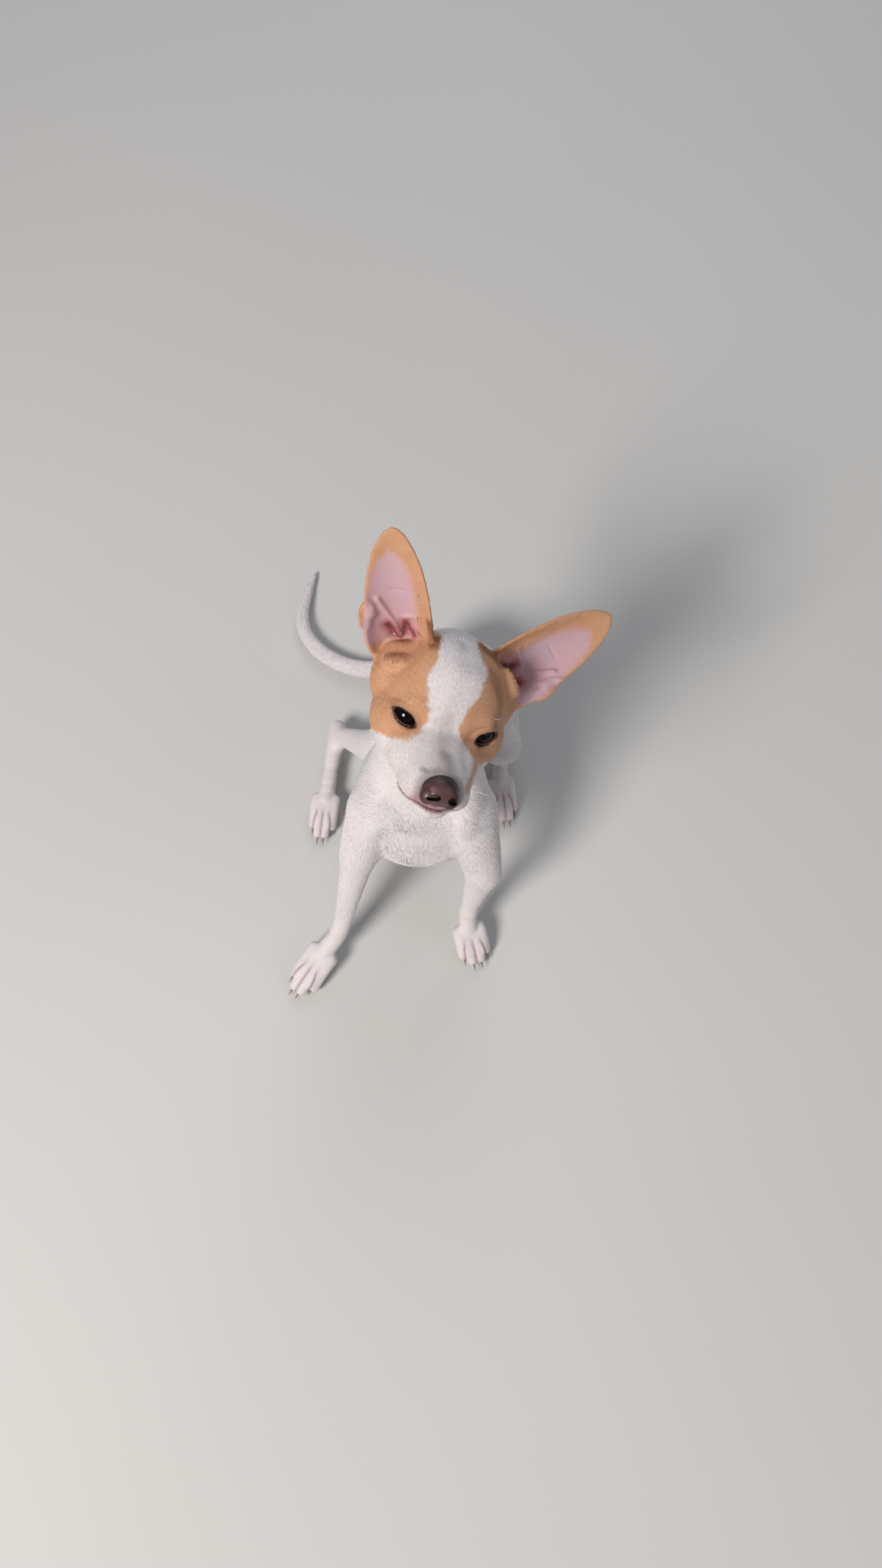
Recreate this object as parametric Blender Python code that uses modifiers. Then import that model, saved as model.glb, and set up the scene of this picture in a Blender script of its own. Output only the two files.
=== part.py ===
"""A smooth-coated chihuahua sitting with its forelegs spread and its head tipped back to look up.

Life size, as a still model. The origin is the point on the floor that the dog sits on: +X is its
left, -Y is ahead of it and +Z is up. The flesh is fused into one body from lofts, tubes and
ellipsoids that are named for the bones and muscles they stand for, and is then parted into the
head, ears, neck, torso, legs, paws and tail along thin curved cuts.
"""

import math

import bmesh
import bpy
from mathutils import Matrix, Vector
from mathutils.bvhtree import BVHTree

# Lengths below are in millimetres and the scene is in metres.
MM = 0.001
GAP = 0.3
SIDES = {"right": -1, "left": 1}

# Making of the fused body: the voxels that the trunk, the head and the whole are fused at, the
# passes that round the creases between forms, and the share of triangles that is kept.
BODY_VOXEL = 1.6
HEAD_VOXEL = 0.9
BODY_ROUNDING = 30
HEAD_ROUNDING = 36
LAST_ROUNDING = 5
FLESH_TRIANGLES = 8800
THINNING_BIAS = 0.0015
NOSE_VOXEL = 0.5
BALL_SEGMENTS = 16
NOSTRIL_SEGMENTS = 10
CLAW_SEGMENTS = 6
MOUTH_STEPS = 15

# Trunk: centre, half width and half depth of each section, from the rump to the breast.
TRUNK = (
    ((1, 31, 34), 18, 17),
    ((0, 17, 38), 28, 29),
    ((-2, -8, 52), 28, 29),
    ((-6, -38, 78), 28, 30),
    ((-11, -68, 97), 32, 36),
    ((-15, -95, 108), 35, 38),
    ((-18, -118, 107), 30, 32),
    ((-19, -133, 103), 18, 20),
)
NECK = (
    ((-17, -100, 112), 34, 36),
    ((-14, -93, 138), 30, 31),
    ((-9, -83, 162), 27, 28),
    ((-5, -74, 182), 25, 27),
)
BREAST = ((-18, -117, 90), (33, 28, 27))
RUMP = ((0, 1, 30), (31, 33, 32))

# Joints of the legs.
FORELEG = {
    "right": {
        "shoulder": (-44, -116, 112),
        "elbow": (-55, -136, 81),
        "wrist": (-69, -169, 25),
        "paw": (-81, -181, 13),
        "toes": (-97, -202, 5.6),
    },
    "left": {
        "shoulder": (12, -116, 112),
        "elbow": (21, -142, 68),
        "wrist": (12, -156, 26),
        "paw": (13, -165, 13),
        "toes": (18, -183, 5.6),
    },
}
HINDLEG = {
    "right": {
        "hip": (-16, 12, 42),
        "knee": (-38, -60, 60),
        "hock": (-77, -28, 12),
        "paw": (-83, -74, 9.5),
        "toes": (-86, -98, 5.2),
    },
    "left": {
        "hip": (18, 12, 42),
        "knee": (34, -54, 56),
        "hock": (38, -12, 12),
        "paw": (35, -62, 9.5),
        "toes": (39, -86, 5.2),
    },
}

# How thick the legs are: radii along the limb, and the half width and half depth of a muscle,
# with where it starts and ends as seen from the left leg's joints.
SHOULDER = {"blade": (15, 24), "girth": 17, "top": (-8, 32, 26), "point": (0, -14, -14)}
ELBOW = ((3, 6, 2), (8, 8, 11))
FOREARM = (11.5, 9.2, 7.3, 6.9, 8.2)
THIGH = {"girth": (19, 29), "back": (0, 14, -6), "front": (0, -10, 2)}
SHANK = (14, 11, 8, 7)
HIND_FOOT = (6.5, 7.2, 6.6, 7.6)
HEEL = 6

# Paws: four toes each, the middle pair the longest, with a curved claw on each.
FORE_TOE = {"girth": 4.3, "fan": 15}
HIND_TOE = {"girth": 3.9, "fan": 12.5}
TOE_PLACES = (-1.5, -0.5, 0.5, 1.5)
OUTER_TOE_REACH = 0.74
CLAW = {"length": 8.0, "girth": 1.4, "drop": 3.6, "lift": 0.9}

# Tail, from its root at the back of the rump to the tip on the floor.
TAIL = (
    ((0, 28, 32), 9.5),
    ((-14, 33, 18), 8.6),
    ((-34, 25, 9.5), 7.4),
    ((-57, 23, 6.3), 6.6),
    ((-78, 29, 5.8), 6.3),
    ((-96, 42, 5.5), 6.0),
    ((-106, 60, 5.2), 5.5),
    ((-104, 82, 4.4), 4.6),
    ((-98, 103, 2.8), 2.6),
)
TAIL_SPLIT = 4

# Head frame: its origin is midway between the corneas, +X to the dog's left, -Y along the muzzle.
HEAD_AT = (-2.8, -108.2, 215)
HEAD_TURN = (-40, 18.5, -8)

SKULL = ((0, 27, 7), (33, 34, 32))
FOREHEAD = ((0, 14, 10), (26, 19, 25))
NAPE = ((0, 44, -12), (26, 25, 26))
CHEEK = ((21, 18, -8), (15.5, 19, 17))
JOWL = ((16, 17, -16), (16, 22, 15))
LIP_FOLD = ((14.5, -2, -19), (10.5, 15, 10.5))
EAR_BULB = ((27, 31, 7), (13.5, 14.5, 17.5))
BROW = ((15, 4, 9), (10, 8, 7))
FLEW = ((11, -18.5, -23.5), (8.5, 15, 8))
CHIN = ((0, -27, -31), (9.5, 8, 5.5))
MUZZLE = (
    ((0, 10, -11), 31, 19),
    ((0, -5, -14.5), 24.5, 15.5),
    ((0, -17, -18), 19.5, 13),
    ((0, -27.5, -20), 15.5, 11),
    ((0, -35, -21), 11, 8.5),
)
JAW = (
    ((0, 22, -24), 20, 12),
    ((0, 4, -26.5), 18, 9.5),
    ((0, -13, -29), 14, 7.5),
    ((0, -26.5, -30.5), 10, 6),
)

# Eyes: the ball, and the almond between the lids, whose long axis rises to its outer corner.
EYE = {"centre": (19, 7.5, -0.5), "radius": 8.8}
LID = 1.7
GAZE = (0.36, -0.92, 0.08)
LID_SLANT = (0.9, 0.36, 0.27)
LID_OPENING = (7.2, 4.3)

# Nose leather, its wings and nostrils, and the mouth line round the muzzle: its height at the
# front and at the sides, the angle that it runs back to, and the half width of the groove.
NOSE = {"centre": (0, -33.5, -17.5), "radii": (9.2, 7, 8)}
NOSE_WING = ((5.8, -35.5, -19.5), (4.3, 4.6, 5.2))
NOSTRIL = ((5.0, -39, -18.8), (1.5, 4.5, 2.0))
NOSE_TRIANGLES = 520
MOUTH = {"front": -28.5, "side": -26, "from": -10, "back": 112, "groove": 0.7}

# Ears: base and axis in the head frame, and the way the cup faces. In the ear's own frame lie the
# fold of skin on its outer margin and the hollow at its root, which leads to the canal.
EAR = {
    "right": {"base": (-30.5, 27, 23), "axis": (-0.36, -0.15, 0.92), "faces": (-0.3, -1, -0.1)},
    "left": {"base": (31, 28, 23), "axis": (0.71, 0.43, 0.555), "faces": (0.2, -0.85, 0.35)},
}
EAR_LENGTH = 70
EAR_WIDTH = 36
EAR_THICK = 2.2
EAR_ROOT = 8
EAR_MUSCLE = {"from": (0, 10, -2), "length": 20, "girth": (12, 13)}
EAR_POCKET = ((-16.5, -4, 17), (3.2, 5, 9))
EAR_HOLLOW = ((-1, 1.5, 11), (11, 9.5, 10.5))

# Thin cuts that part the flesh: a point on the cut, the way it faces and its radius. The cuts of
# a right leg are mirrored for the left, and a leg's own joints place the others.
NECK_CUTS = (((-8, -80, 167), (0, 0.2, 0.98), 50), ((-12, -89, 146), (0, -0.16, 0.98), 46))
SHOULDER_CUTS = {
    "right": ((-41, -108, 112), (-1, -0.08, -0.08), 58),
    "left": ((10, -108, 112), (1, -0.27, -0.08), 58),
}
HIP_CUT = {"point": (24, -18, 40), "face": (-0.94, 0.08, -0.33), "radius": 68}
EAR_CUT = {"along": 7, "radius": 25}
LIMB_CUT_RADIUS = 13
TAIL_CUT = {"along": 0.8, "radius": 13}

COLOURS = {
    "coat_white": ((0.80, 0.78, 0.78), 0.8),
    "coat_tan": ((0.66, 0.36, 0.17), 0.8),
    "nose_leather": ((0.16, 0.07, 0.06), 0.45),
    "eye_gloss": ((0.015, 0.012, 0.012), 0.08),
}


def mm(point):
    """A point in millimetres as a vector in metres."""
    return Vector(point) * MM


def head_matrix():
    """Carries the head frame to the dog's frame."""
    turns = [Matrix.Rotation(math.radians(angle), 4, axis) for angle, axis in zip(HEAD_TURN, "XYZ")]
    return Matrix.Translation(mm(HEAD_AT)) @ turns[2] @ turns[1] @ turns[0]


def mirrored(point, side):
    """A point of the left side as it lies on the given side."""
    return (point[0] * SIDES[side], point[1], point[2])


def new_object(name, mesh):
    made = bpy.data.objects.new(name, mesh)
    bpy.context.scene.collection.objects.link(made)
    return made


def mesh_from(work, name="form"):
    """Turns a bmesh into an object with its faces pointing out."""
    bmesh.ops.recalc_face_normals(work, faces=work.faces)
    if work.calc_volume(signed=True) < 0:
        bmesh.ops.reverse_faces(work, faces=work.faces)
    mesh = bpy.data.meshes.new(name)
    work.to_mesh(mesh)
    work.free()
    return new_object(name, mesh)


def ellipsoid(centre, radii, turn=None, segments=32):
    """An ellipsoid; turn is a rotation of its axes."""
    work = bmesh.new()
    bmesh.ops.create_uvsphere(work, u_segments=segments, v_segments=segments * 5 // 8, radius=1)
    bmesh.ops.scale(work, vec=mm(radii), verts=work.verts)
    if turn:
        bmesh.ops.transform(work, matrix=turn, verts=work.verts)
    bmesh.ops.translate(work, vec=mm(centre), verts=work.verts)
    return mesh_from(work)


def muscle(start, end, width, depth):
    """An ellipsoid stretched from start to end, with its width across X."""
    along = Vector(end) - Vector(start)
    across = Vector((1, 0, 0))
    ahead = along.normalized()
    across = (across - ahead * across.dot(ahead)).normalized()
    turn = Matrix((across, ahead, across.cross(ahead))).transposed().to_4x4()
    return ellipsoid((Vector(start) + Vector(end)) / 2, (width, along.length / 2, depth), turn)


def loft(sections):
    """A body through elliptical sections, each a centre, a half width across X and a half depth."""
    work = bmesh.new()
    rings = []
    centres = [Vector(section[0]) for section in sections]
    for place, (centre, half_width, half_depth) in enumerate(sections):
        before, after = centres[max(place - 1, 0)], centres[min(place + 1, len(centres) - 1)]
        ahead = (after - before).normalized()
        across = (Vector((1, 0, 0)) - ahead * ahead.x).normalized()
        frame = Matrix((across, ahead.cross(across), ahead)).transposed().to_4x4()
        stretch = Matrix.Diagonal((half_width * MM, half_depth * MM, 1, 1))
        ring = bmesh.ops.create_circle(
            work, segments=24, radius=1, matrix=Matrix.Translation(mm(centre)) @ frame @ stretch
        )["verts"]
        rings.append({edge for vert in ring for edge in vert.link_edges})
    for one, other in zip(rings, rings[1:]):
        bmesh.ops.bridge_loops(work, edges=list(one | other))
    bmesh.ops.holes_fill(work, edges=work.edges, sides=0)
    form = mesh_from(work)
    soft = form.modifiers.new("soft", "SUBSURF")
    soft.levels = soft.render_levels = 2
    return form


def tube(points, smooth=True):
    """A round tube through points with their radii; one that isn't smooth has few faces."""
    curve = bpy.data.curves.new("form", "CURVE")
    curve.dimensions = "3D"
    curve.bevel_depth = MM
    curve.bevel_resolution = 4 if smooth else 0
    curve.use_fill_caps = True
    spline = curve.splines.new("NURBS")
    spline.points.add(len(points) - 1)
    for knot, (place, radius) in zip(spline.points, points):
        knot.co = (*mm(place), 1)
        knot.radius = radius
    spline.order_u = 3
    spline.use_endpoint_u = True
    spline.resolution_u = 6 if smooth else 1
    return new_object("form", curve)


def evaluated_mesh(made):
    """The object's mesh in the dog's frame with its modifiers applied; the object is removed."""
    bpy.context.view_layer.update()
    mesh = bpy.data.meshes.new_from_object(made.evaluated_get(bpy.context.evaluated_depsgraph_get()))
    mesh.transform(made.matrix_world)
    bpy.data.objects.remove(made)
    return mesh


def baked(made):
    """The object with its modifiers applied, under the same name."""
    name = made.name
    return new_object(name, evaluated_mesh(made))


def joined(forms):
    """All the forms as one object of overlapping closed shells."""
    work = bmesh.new()
    for form in forms:
        mesh = evaluated_mesh(form)
        work.from_mesh(mesh)
        bpy.data.meshes.remove(mesh)
    bmesh.ops.remove_doubles(work, verts=work.verts, dist=1e-6)
    return mesh_from(work, "flesh")


def combine(target, others, operation):
    """Applies a Boolean with each of the other objects in turn, and removes them."""
    for other in others:
        change = target.modifiers.new("change", "BOOLEAN")
        change.operation = operation
        change.solver = "MANIFOLD"
        change.object = other
        target = baked(target)
        bpy.data.objects.remove(other)
    return target


# Forms of the flesh


def limb(points):
    """A tube through points with their radii, with round ends."""
    (first, first_radius), (last, last_radius) = points[0], points[-1]
    return [
        tube(points),
        ellipsoid(first, (first_radius,) * 3),
        ellipsoid(last, (last_radius,) * 3),
    ]


def trunk_forms():
    """The trunk, the neck, the breast and the rump."""
    return [loft(TRUNK), loft(NECK), ellipsoid(*BREAST), ellipsoid(*RUMP)]


def foreleg_forms(side):
    """Shoulder blade, upper arm, elbow and forearm of one side, down to the root of the toes."""
    joint = FORELEG[side]
    shoulder, elbow, wrist, paw = (Vector(joint[name]) for name in ("shoulder", "elbow", "wrist", "paw"))
    girth = SHOULDER["girth"]
    blade = shoulder + Vector(mirrored(SHOULDER["top"], side))
    top, middle, low, carpus, knuckles = FOREARM
    return [
        muscle(blade, shoulder + Vector(SHOULDER["point"]), *SHOULDER["blade"]),
        *limb(((shoulder, girth), (shoulder.lerp(elbow, 0.5), girth - 2), (elbow, top + 1))),
        *limb(
            (
                (elbow, top),
                (elbow.lerp(wrist, 0.35), middle),
                (elbow.lerp(wrist, 0.75), low),
                (wrist, carpus),
                (paw, knuckles),
            )
        ),
        ellipsoid(elbow + Vector(mirrored(ELBOW[0], side)), ELBOW[1]),
    ]


def hindleg_forms(side):
    """Thigh, knee, shank, hock and the long foot of one side."""
    joint = HINDLEG[side]
    hip, knee, hock, paw = (Vector(joint[name]) for name in ("hip", "knee", "hock", "paw"))
    heel = hock + (hock - paw).normalized() * HEEL + Vector((0, 0, 1))
    top, middle, low, ankle = SHANK
    back, hock_girth, mid_foot, knuckles = HIND_FOOT
    return [
        muscle(hip + Vector(THIGH["back"]), knee + Vector(THIGH["front"]), *THIGH["girth"]),
        *limb(((knee, top), (knee.lerp(hock, 0.4), middle), (knee.lerp(hock, 0.75), low), (hock, ankle))),
        *limb(((heel, back), (hock, hock_girth), (hock.lerp(paw, 0.5), mid_foot), (paw, knuckles))),
    ]


def toe_places(joint, toe):
    """Root, knuckle and tip of each toe, fanned across the paw."""
    paw, toes = Vector(joint["paw"]), Vector(joint["toes"])
    ahead = Vector((toes.x - paw.x, toes.y - paw.y, 0))
    across = Vector((-ahead.y, ahead.x, 0)).normalized()
    girth = toe["girth"]
    for place in TOE_PLACES:
        reach = OUTER_TOE_REACH if abs(place) > 1 else 1.0
        root = paw + across * place * girth * 1.1
        tip = paw + ahead * reach + across * place * toe["fan"] / 3
        tip.z = toes.z
        yield root, root.lerp(tip, 0.6) + Vector((0, 0, girth * 0.55)), tip


def paw_forms(joint, toe):
    """The pad and the four toes of a paw."""
    paw, toes = Vector(joint["paw"]), Vector(joint["toes"])
    girth = toe["girth"]
    pad = paw.lerp(toes, 0.3)
    pad.z = girth * 1.1
    forms = [ellipsoid(pad, (girth * 2.3, girth * 2.2, girth * 1.2))]
    for root, knuckle, tip in toe_places(joint, toe):
        forms += limb(((root, girth), (knuckle, girth * 0.95), (tip, girth)))
    return forms


def tail_forms():
    return limb(TAIL)


def head_forms():
    """Skull, cheeks, brows, lids, muzzle and jaw, in the head frame."""
    forms = [ellipsoid(*SKULL), ellipsoid(*FOREHEAD), ellipsoid(*NAPE), loft(MUZZLE), loft(JAW)]
    forms.append(ellipsoid(*CHIN))
    lids = (EYE["centre"], (EYE["radius"] + LID,) * 3)
    for side in SIDES:
        for centre, radii in (CHEEK, JOWL, LIP_FOLD, EAR_BULB, BROW, FLEW, lids):
            forms.append(ellipsoid(mirrored(centre, side), radii))
    return forms


def ear_frame(side):
    """Axes of an ear in the head frame: across it, the way it faces, and along it."""
    ear = EAR[side]
    along = Vector(ear["axis"]).normalized()
    faces = Vector(ear["faces"])
    faces = (faces - along * faces.dot(along)).normalized()
    across = faces.cross(along)
    frame = Matrix((across, faces, along)).transposed().to_4x4()
    return Matrix.Translation(mm(ear["base"])) @ frame


def ear_half_width(share):
    """Half width of the ear at a share of its length: full low down, then narrowing to a round tip."""
    root = 0.72 + 0.28 * math.sin(min(share / 0.18, 1) * math.pi / 2)
    return EAR_WIDTH / 2 * root * (1 - min(share, 0.9995) ** 3) ** 0.62


def ear_back(share):
    """How far the back of the cup lies behind its rim, at a share of the ear's length."""
    wrap = ear_wrap(share)
    return -ear_bend(share) * (1 - math.cos(wrap / 2))


def ear_wrap(share):
    """The angle that the cup wraps through: more than half round at the root, nearly flat at the tip."""
    return math.radians(200 - 150 * share ** 0.6)


def ear_bend(share):
    """Radius of the cup's cross-section."""
    return ear_half_width(share) / math.sin(min(ear_wrap(share) / 2, math.pi / 2))


def ear_forms(side):
    """The cupped shell of one ear, the fold on its outer margin and the muscle at its root."""
    work = bmesh.new()
    bmesh.ops.create_grid(work, x_segments=20, y_segments=28, size=1)
    for vert in work.verts:
        share = (vert.co.y + 1) / 2
        wrap, bend = ear_wrap(share), ear_bend(share)
        turn = vert.co.x * wrap / 2
        depth = bend * (math.cos(wrap / 2) - math.cos(turn))
        vert.co = mm((bend * math.sin(turn), depth, share * (EAR_LENGTH + EAR_ROOT) - EAR_ROOT))
    bmesh.ops.transform(work, matrix=ear_frame(side), verts=work.verts)
    shell = mesh_from(work)
    wall = shell.modifiers.new("wall", "SOLIDIFY")
    wall.thickness = EAR_THICK * MM
    wall.offset = 0
    pocket = ellipsoid(mirrored(EAR_POCKET[0], side), EAR_POCKET[1])
    pocket.matrix_world = ear_frame(side)
    base = Vector(EAR[side]["base"]) + Vector(EAR_MUSCLE["from"])
    along = Vector(EAR[side]["axis"])
    root = muscle(base - along * EAR_MUSCLE["length"], base + along, *EAR_MUSCLE["girth"])
    return [shell, baked(pocket), root]


def fused(forms, voxel, rounding):
    """The forms fused into one closed skin, with the creases between them rounded."""
    body = joined(forms)
    fuse = body.modifiers.new("fuse", "REMESH")
    fuse.mode = "VOXEL"
    fuse.voxel_size = voxel * MM
    soften = body.modifiers.new("soften", "SMOOTH")
    soften.factor = 0.5
    soften.iterations = rounding
    return baked(body)


def flesh():
    """The whole dog's flesh fused into one closed body and thinned to its triangle count."""
    trunk, paws, head, ears = trunk_forms(), [], head_forms(), []
    for side in SIDES:
        trunk += foreleg_forms(side) + hindleg_forms(side)
        paws += paw_forms(FORELEG[side], FORE_TOE) + paw_forms(HINDLEG[side], HIND_TOE)
        ears += ear_forms(side)
    trunk = fused(trunk, BODY_VOXEL, BODY_ROUNDING)
    head = fused(head, HEAD_VOXEL, HEAD_ROUNDING)
    for form in (head, *ears):
        form.matrix_world = head_matrix() @ form.matrix_world
    return fused([trunk, head, *paws, *ears, *tail_forms()], HEAD_VOXEL, LAST_ROUNDING)


# Crisp work on the thinned flesh


def detail_share(point):
    """How freely the flesh may be thinned at a point: 1 on the body, down to 0 on the face."""
    face = head_matrix() @ mm((0, -8, -8))
    return min(max(((point - face).length / MM - 30) / 25, 0.1), 1)


def thinned(body):
    """The fused flesh thinned to its triangle count, with the face kept finer than the rest."""
    keep = body.vertex_groups.new(name="thin")
    for vert in body.data.vertices:
        keep.add([vert.index], detail_share(vert.co), "REPLACE")
    body.data.calc_loop_triangles()
    thin = body.modifiers.new("thin", "DECIMATE")
    thin.ratio = FLESH_TRIANGLES / len(body.data.loop_triangles)
    thin.vertex_group = keep.name
    thin.vertex_group_factor = THINNING_BIAS
    return baked(body)


def thin_disc(point, face, radius):
    """A cutter as thick as the gap between two parts."""
    work = bmesh.new()
    bmesh.ops.create_cone(
        work, cap_ends=True, segments=32, radius1=radius * MM, radius2=radius * MM, depth=GAP * MM
    )
    disc = mesh_from(work, "cut")
    turn = Vector(face).to_track_quat("Z", "Y").to_matrix().to_4x4()
    disc.matrix_world = Matrix.Translation(mm(point)) @ turn
    return baked(disc)


def floor_block():
    """A block whose top is the floor that the dog rests on."""
    work = bmesh.new()
    bmesh.ops.create_cube(work, size=1)
    block = mesh_from(work, "floor")
    block.matrix_world = Matrix.Translation((0, 0, -0.5))
    return baked(block)


def in_head(form):
    """A form of the head frame, placed in the dog's frame."""
    form.matrix_world = head_matrix() @ form.matrix_world
    return baked(form)


def lid_opening(side):
    """The almond that is cut between the lids of one eye."""
    gaze = Vector(mirrored(GAZE, side)).normalized()
    slant = Vector(mirrored(LID_SLANT, side))
    slant = (slant - gaze * slant.dot(gaze)).normalized()
    turn = Matrix((slant, gaze, slant.cross(gaze))).transposed().to_4x4()
    middle = Vector(mirrored(EYE["centre"], side)) + gaze * EYE["radius"]
    half_length, half_height = LID_OPENING
    return ellipsoid(middle, (half_length, EYE["radius"] / 2, half_height), turn, BALL_SEGMENTS)


def mouth_groove(body):
    """A fine tube laid round the muzzle on the skin, where the lips meet."""
    skin = BVHTree.FromObject(body, bpy.context.evaluated_depsgraph_get())
    frame = head_matrix()
    points = []
    for step in range(-MOUTH_STEPS, MOUTH_STEPS + 1):
        share = step / MOUTH_STEPS
        angle = math.radians(MOUTH["back"]) * share
        height = MOUTH["front"] + (MOUTH["side"] - MOUTH["front"]) * math.sin(abs(share) * math.pi) ** 2
        start = frame @ mm((0, MOUTH["from"], height))
        ahead = frame.to_3x3() @ Vector((math.sin(angle), -math.cos(angle), 0))
        hit = skin.ray_cast(start, ahead)[0]
        points.append((hit / MM, MOUTH["groove"]))
    return tube(points, smooth=False)


def nose_form(swell):
    """The nose leather without its nostrils; swell is how far its bed stands off it."""
    forms = []
    for centre, radii in (
        (NOSE["centre"], NOSE["radii"]),
        *((mirrored(NOSE_WING[0], side), NOSE_WING[1]) for side in SIDES),
    ):
        forms.append(ellipsoid(centre, [radius + swell for radius in radii]))
    form = fused(forms, NOSE_VOXEL, 3)
    thin = form.modifiers.new("thin", "DECIMATE")
    thin.ratio = NOSE_TRIANGLES / 2 / len(form.data.polygons)
    return in_head(form)


def nose():
    """The nose leather with its two nostrils."""
    nostrils = []
    for side in SIDES:
        centre, radii = NOSTRIL
        nostrils.append(in_head(ellipsoid(mirrored(centre, side), radii, segments=NOSTRIL_SEGMENTS)))
    return combine(nose_form(0), nostrils, "DIFFERENCE")


def ball(centre, radius):
    """An eyeball, or the socket that it lies in."""
    return ellipsoid(centre, (radius,) * 3, segments=BALL_SEGMENTS)


def ear_hollow(side):
    """The hollow at the root of one ear."""
    hollow = ellipsoid(mirrored(EAR_HOLLOW[0], side), EAR_HOLLOW[1], segments=BALL_SEGMENTS)
    hollow.matrix_world = ear_frame(side)
    return in_head(baked(hollow))


def carved(body):
    """The flesh with flats on the floor, sockets, lids, ear hollows, the mouth and the nose's bed."""
    cutters = [floor_block(), nose_form(GAP), curve_mesh(mouth_groove(body))]
    for side in SIDES:
        cutters.append(in_head(lid_opening(side)))
        cutters.append(in_head(ball(mirrored(EYE["centre"], side), EYE["radius"] + GAP)))
        cutters.append(ear_hollow(side))
    return combine(body, cutters, "DIFFERENCE")


def curve_mesh(curve):
    """A curve object as a closed mesh."""
    made = baked(curve)
    work = bmesh.new()
    work.from_mesh(made.data)
    bpy.data.objects.remove(made)
    bmesh.ops.remove_doubles(work, verts=work.verts, dist=1e-6)
    return mesh_from(work)


def claw(root, ahead):
    """One claw: a cone that curves down to its point, with its root sunk in the toe."""
    length, girth = CLAW["length"], CLAW["girth"]
    work = bmesh.new()
    bmesh.ops.create_cone(
        work, cap_ends=True, segments=CLAW_SEGMENTS, radius1=girth, radius2=girth * 0.12, depth=length
    )
    sides = [edge for edge in work.edges if abs(edge.verts[0].co.z - edge.verts[1].co.z) > 1]
    bmesh.ops.subdivide_edges(work, edges=sides, cuts=2)
    down = Vector((0, 0, -1))
    along = ahead.normalized()
    across = down.cross(along)
    for vert in work.verts:
        share = vert.co.z / length + 0.5
        sink = CLAW["drop"] * share ** 2
        vert.co = mm(root + along * length * share + across * vert.co.x + down * (sink + vert.co.y))
    return mesh_from(work)


def claws(joint, toe):
    """A claw on each toe of a paw."""
    made = []
    for start, knuckle, tip in toe_places(joint, toe):
        ahead = tip - start
        ahead.z = 0
        root = tip + ahead.normalized() * toe["girth"] * 0.1 + Vector((0, 0, CLAW["lift"]))
        made.append(claw(root, ahead))
    return made


# Parting of the flesh into the nodes


def cuts():
    """Every thin cut."""
    discs = [thin_disc(*cut) for cut in NECK_CUTS]
    tail = [Vector(point) for point, radius in TAIL]
    root = tail[1].lerp(tail[2], TAIL_CUT["along"])
    discs.append(thin_disc(root, tail[2] - tail[1], TAIL_CUT["radius"]))
    bend = tail[TAIL_SPLIT + 1] - tail[TAIL_SPLIT - 1]
    discs.append(thin_disc(tail[TAIL_SPLIT], bend, TAIL_CUT["radius"]))
    for side in SIDES:
        fore, hind = FORELEG[side], HINDLEG[side]
        elbow, wrist = Vector(fore["elbow"]), Vector(fore["wrist"])
        hock, paw = Vector(hind["hock"]), Vector(hind["paw"])
        discs.append(thin_disc(*SHOULDER_CUTS[side]))
        discs.append(thin_disc(wrist, wrist - elbow, LIMB_CUT_RADIUS))
        point, face = HIP_CUT["point"], HIP_CUT["face"]
        discs.append(
            thin_disc(mirrored(point, side), (-face[0] * SIDES[side], face[1], face[2]), HIP_CUT["radius"])
        )
        discs.append(thin_disc(hock.lerp(paw, 0.5), paw - hock, LIMB_CUT_RADIUS))
        ear = EAR[side]
        root = Vector(ear["base"]) + Vector(ear["axis"]).normalized() * EAR_CUT["along"]
        discs.append(in_head(thin_disc(root, ear["axis"], EAR_CUT["radius"])))
    return discs


def markers():
    """A point inside each part of the flesh, by the part's name."""
    frame = head_matrix()
    inside = {
        "torso": mm(TRUNK[3][0]),
        "neck": mm((-10, -84, 157)),
        "head": frame @ mm(SKULL[0]),
        "tail_base": mm(TAIL[3][0]),
        "tail_tip": mm(TAIL[6][0]),
    }
    for side in SIDES:
        ear, fore, hind = ear_frame(side), FORELEG[side], HINDLEG[side]
        inside["ear_" + side] = frame @ ear @ mm((0, ear_back(0.5), EAR_LENGTH * 0.5))
        inside["fore_leg_" + side] = mm(Vector(fore["elbow"]).lerp(Vector(fore["wrist"]), 0.4))
        inside["fore_paw_" + side] = mm(fore["paw"])
        inside["hind_leg_" + side] = mm(Vector(hind["knee"]).lerp(Vector(hind["hock"]), 0.4))
        inside["hind_paw_" + side] = mm(hind["paw"])
    return inside


def islands(body):
    """The separate closed surfaces of a mesh, each as a bmesh, largest first."""
    whole = bmesh.new()
    whole.from_mesh(body.data)
    bpy.data.objects.remove(body)
    whole.verts.index_update()
    left = set(whole.verts)
    found = []
    while left:
        group, front = set(), [left.pop()]
        while front:
            vert = front.pop()
            group.add(vert)
            for edge in vert.link_edges:
                other = edge.other_vert(vert)
                if other in left:
                    left.remove(other)
                    front.append(other)
        found.append(group)
    pieces = []
    for group in sorted(found, key=len, reverse=True):
        piece = whole.copy()
        piece.verts.index_update()
        kept = {vert.index for vert in group}
        others = [vert for vert in piece.verts if vert.index not in kept]
        bmesh.ops.delete(piece, geom=others, context="VERTS")
        pieces.append(piece)
    whole.free()
    return pieces


def holds(piece, point):
    """True if the point lies inside the closed surface, so that a ray from it crosses an odd number."""
    tree = BVHTree.FromBMesh(piece)
    ahead = Vector((0.31, 0.17, 0.94)).normalized()
    crossings, hit = 0, tree.ray_cast(point, ahead)[0]
    while hit:
        crossings += 1
        hit = tree.ray_cast(hit + ahead * 1e-6, ahead)[0]
    return crossings % 2 == 1


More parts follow.
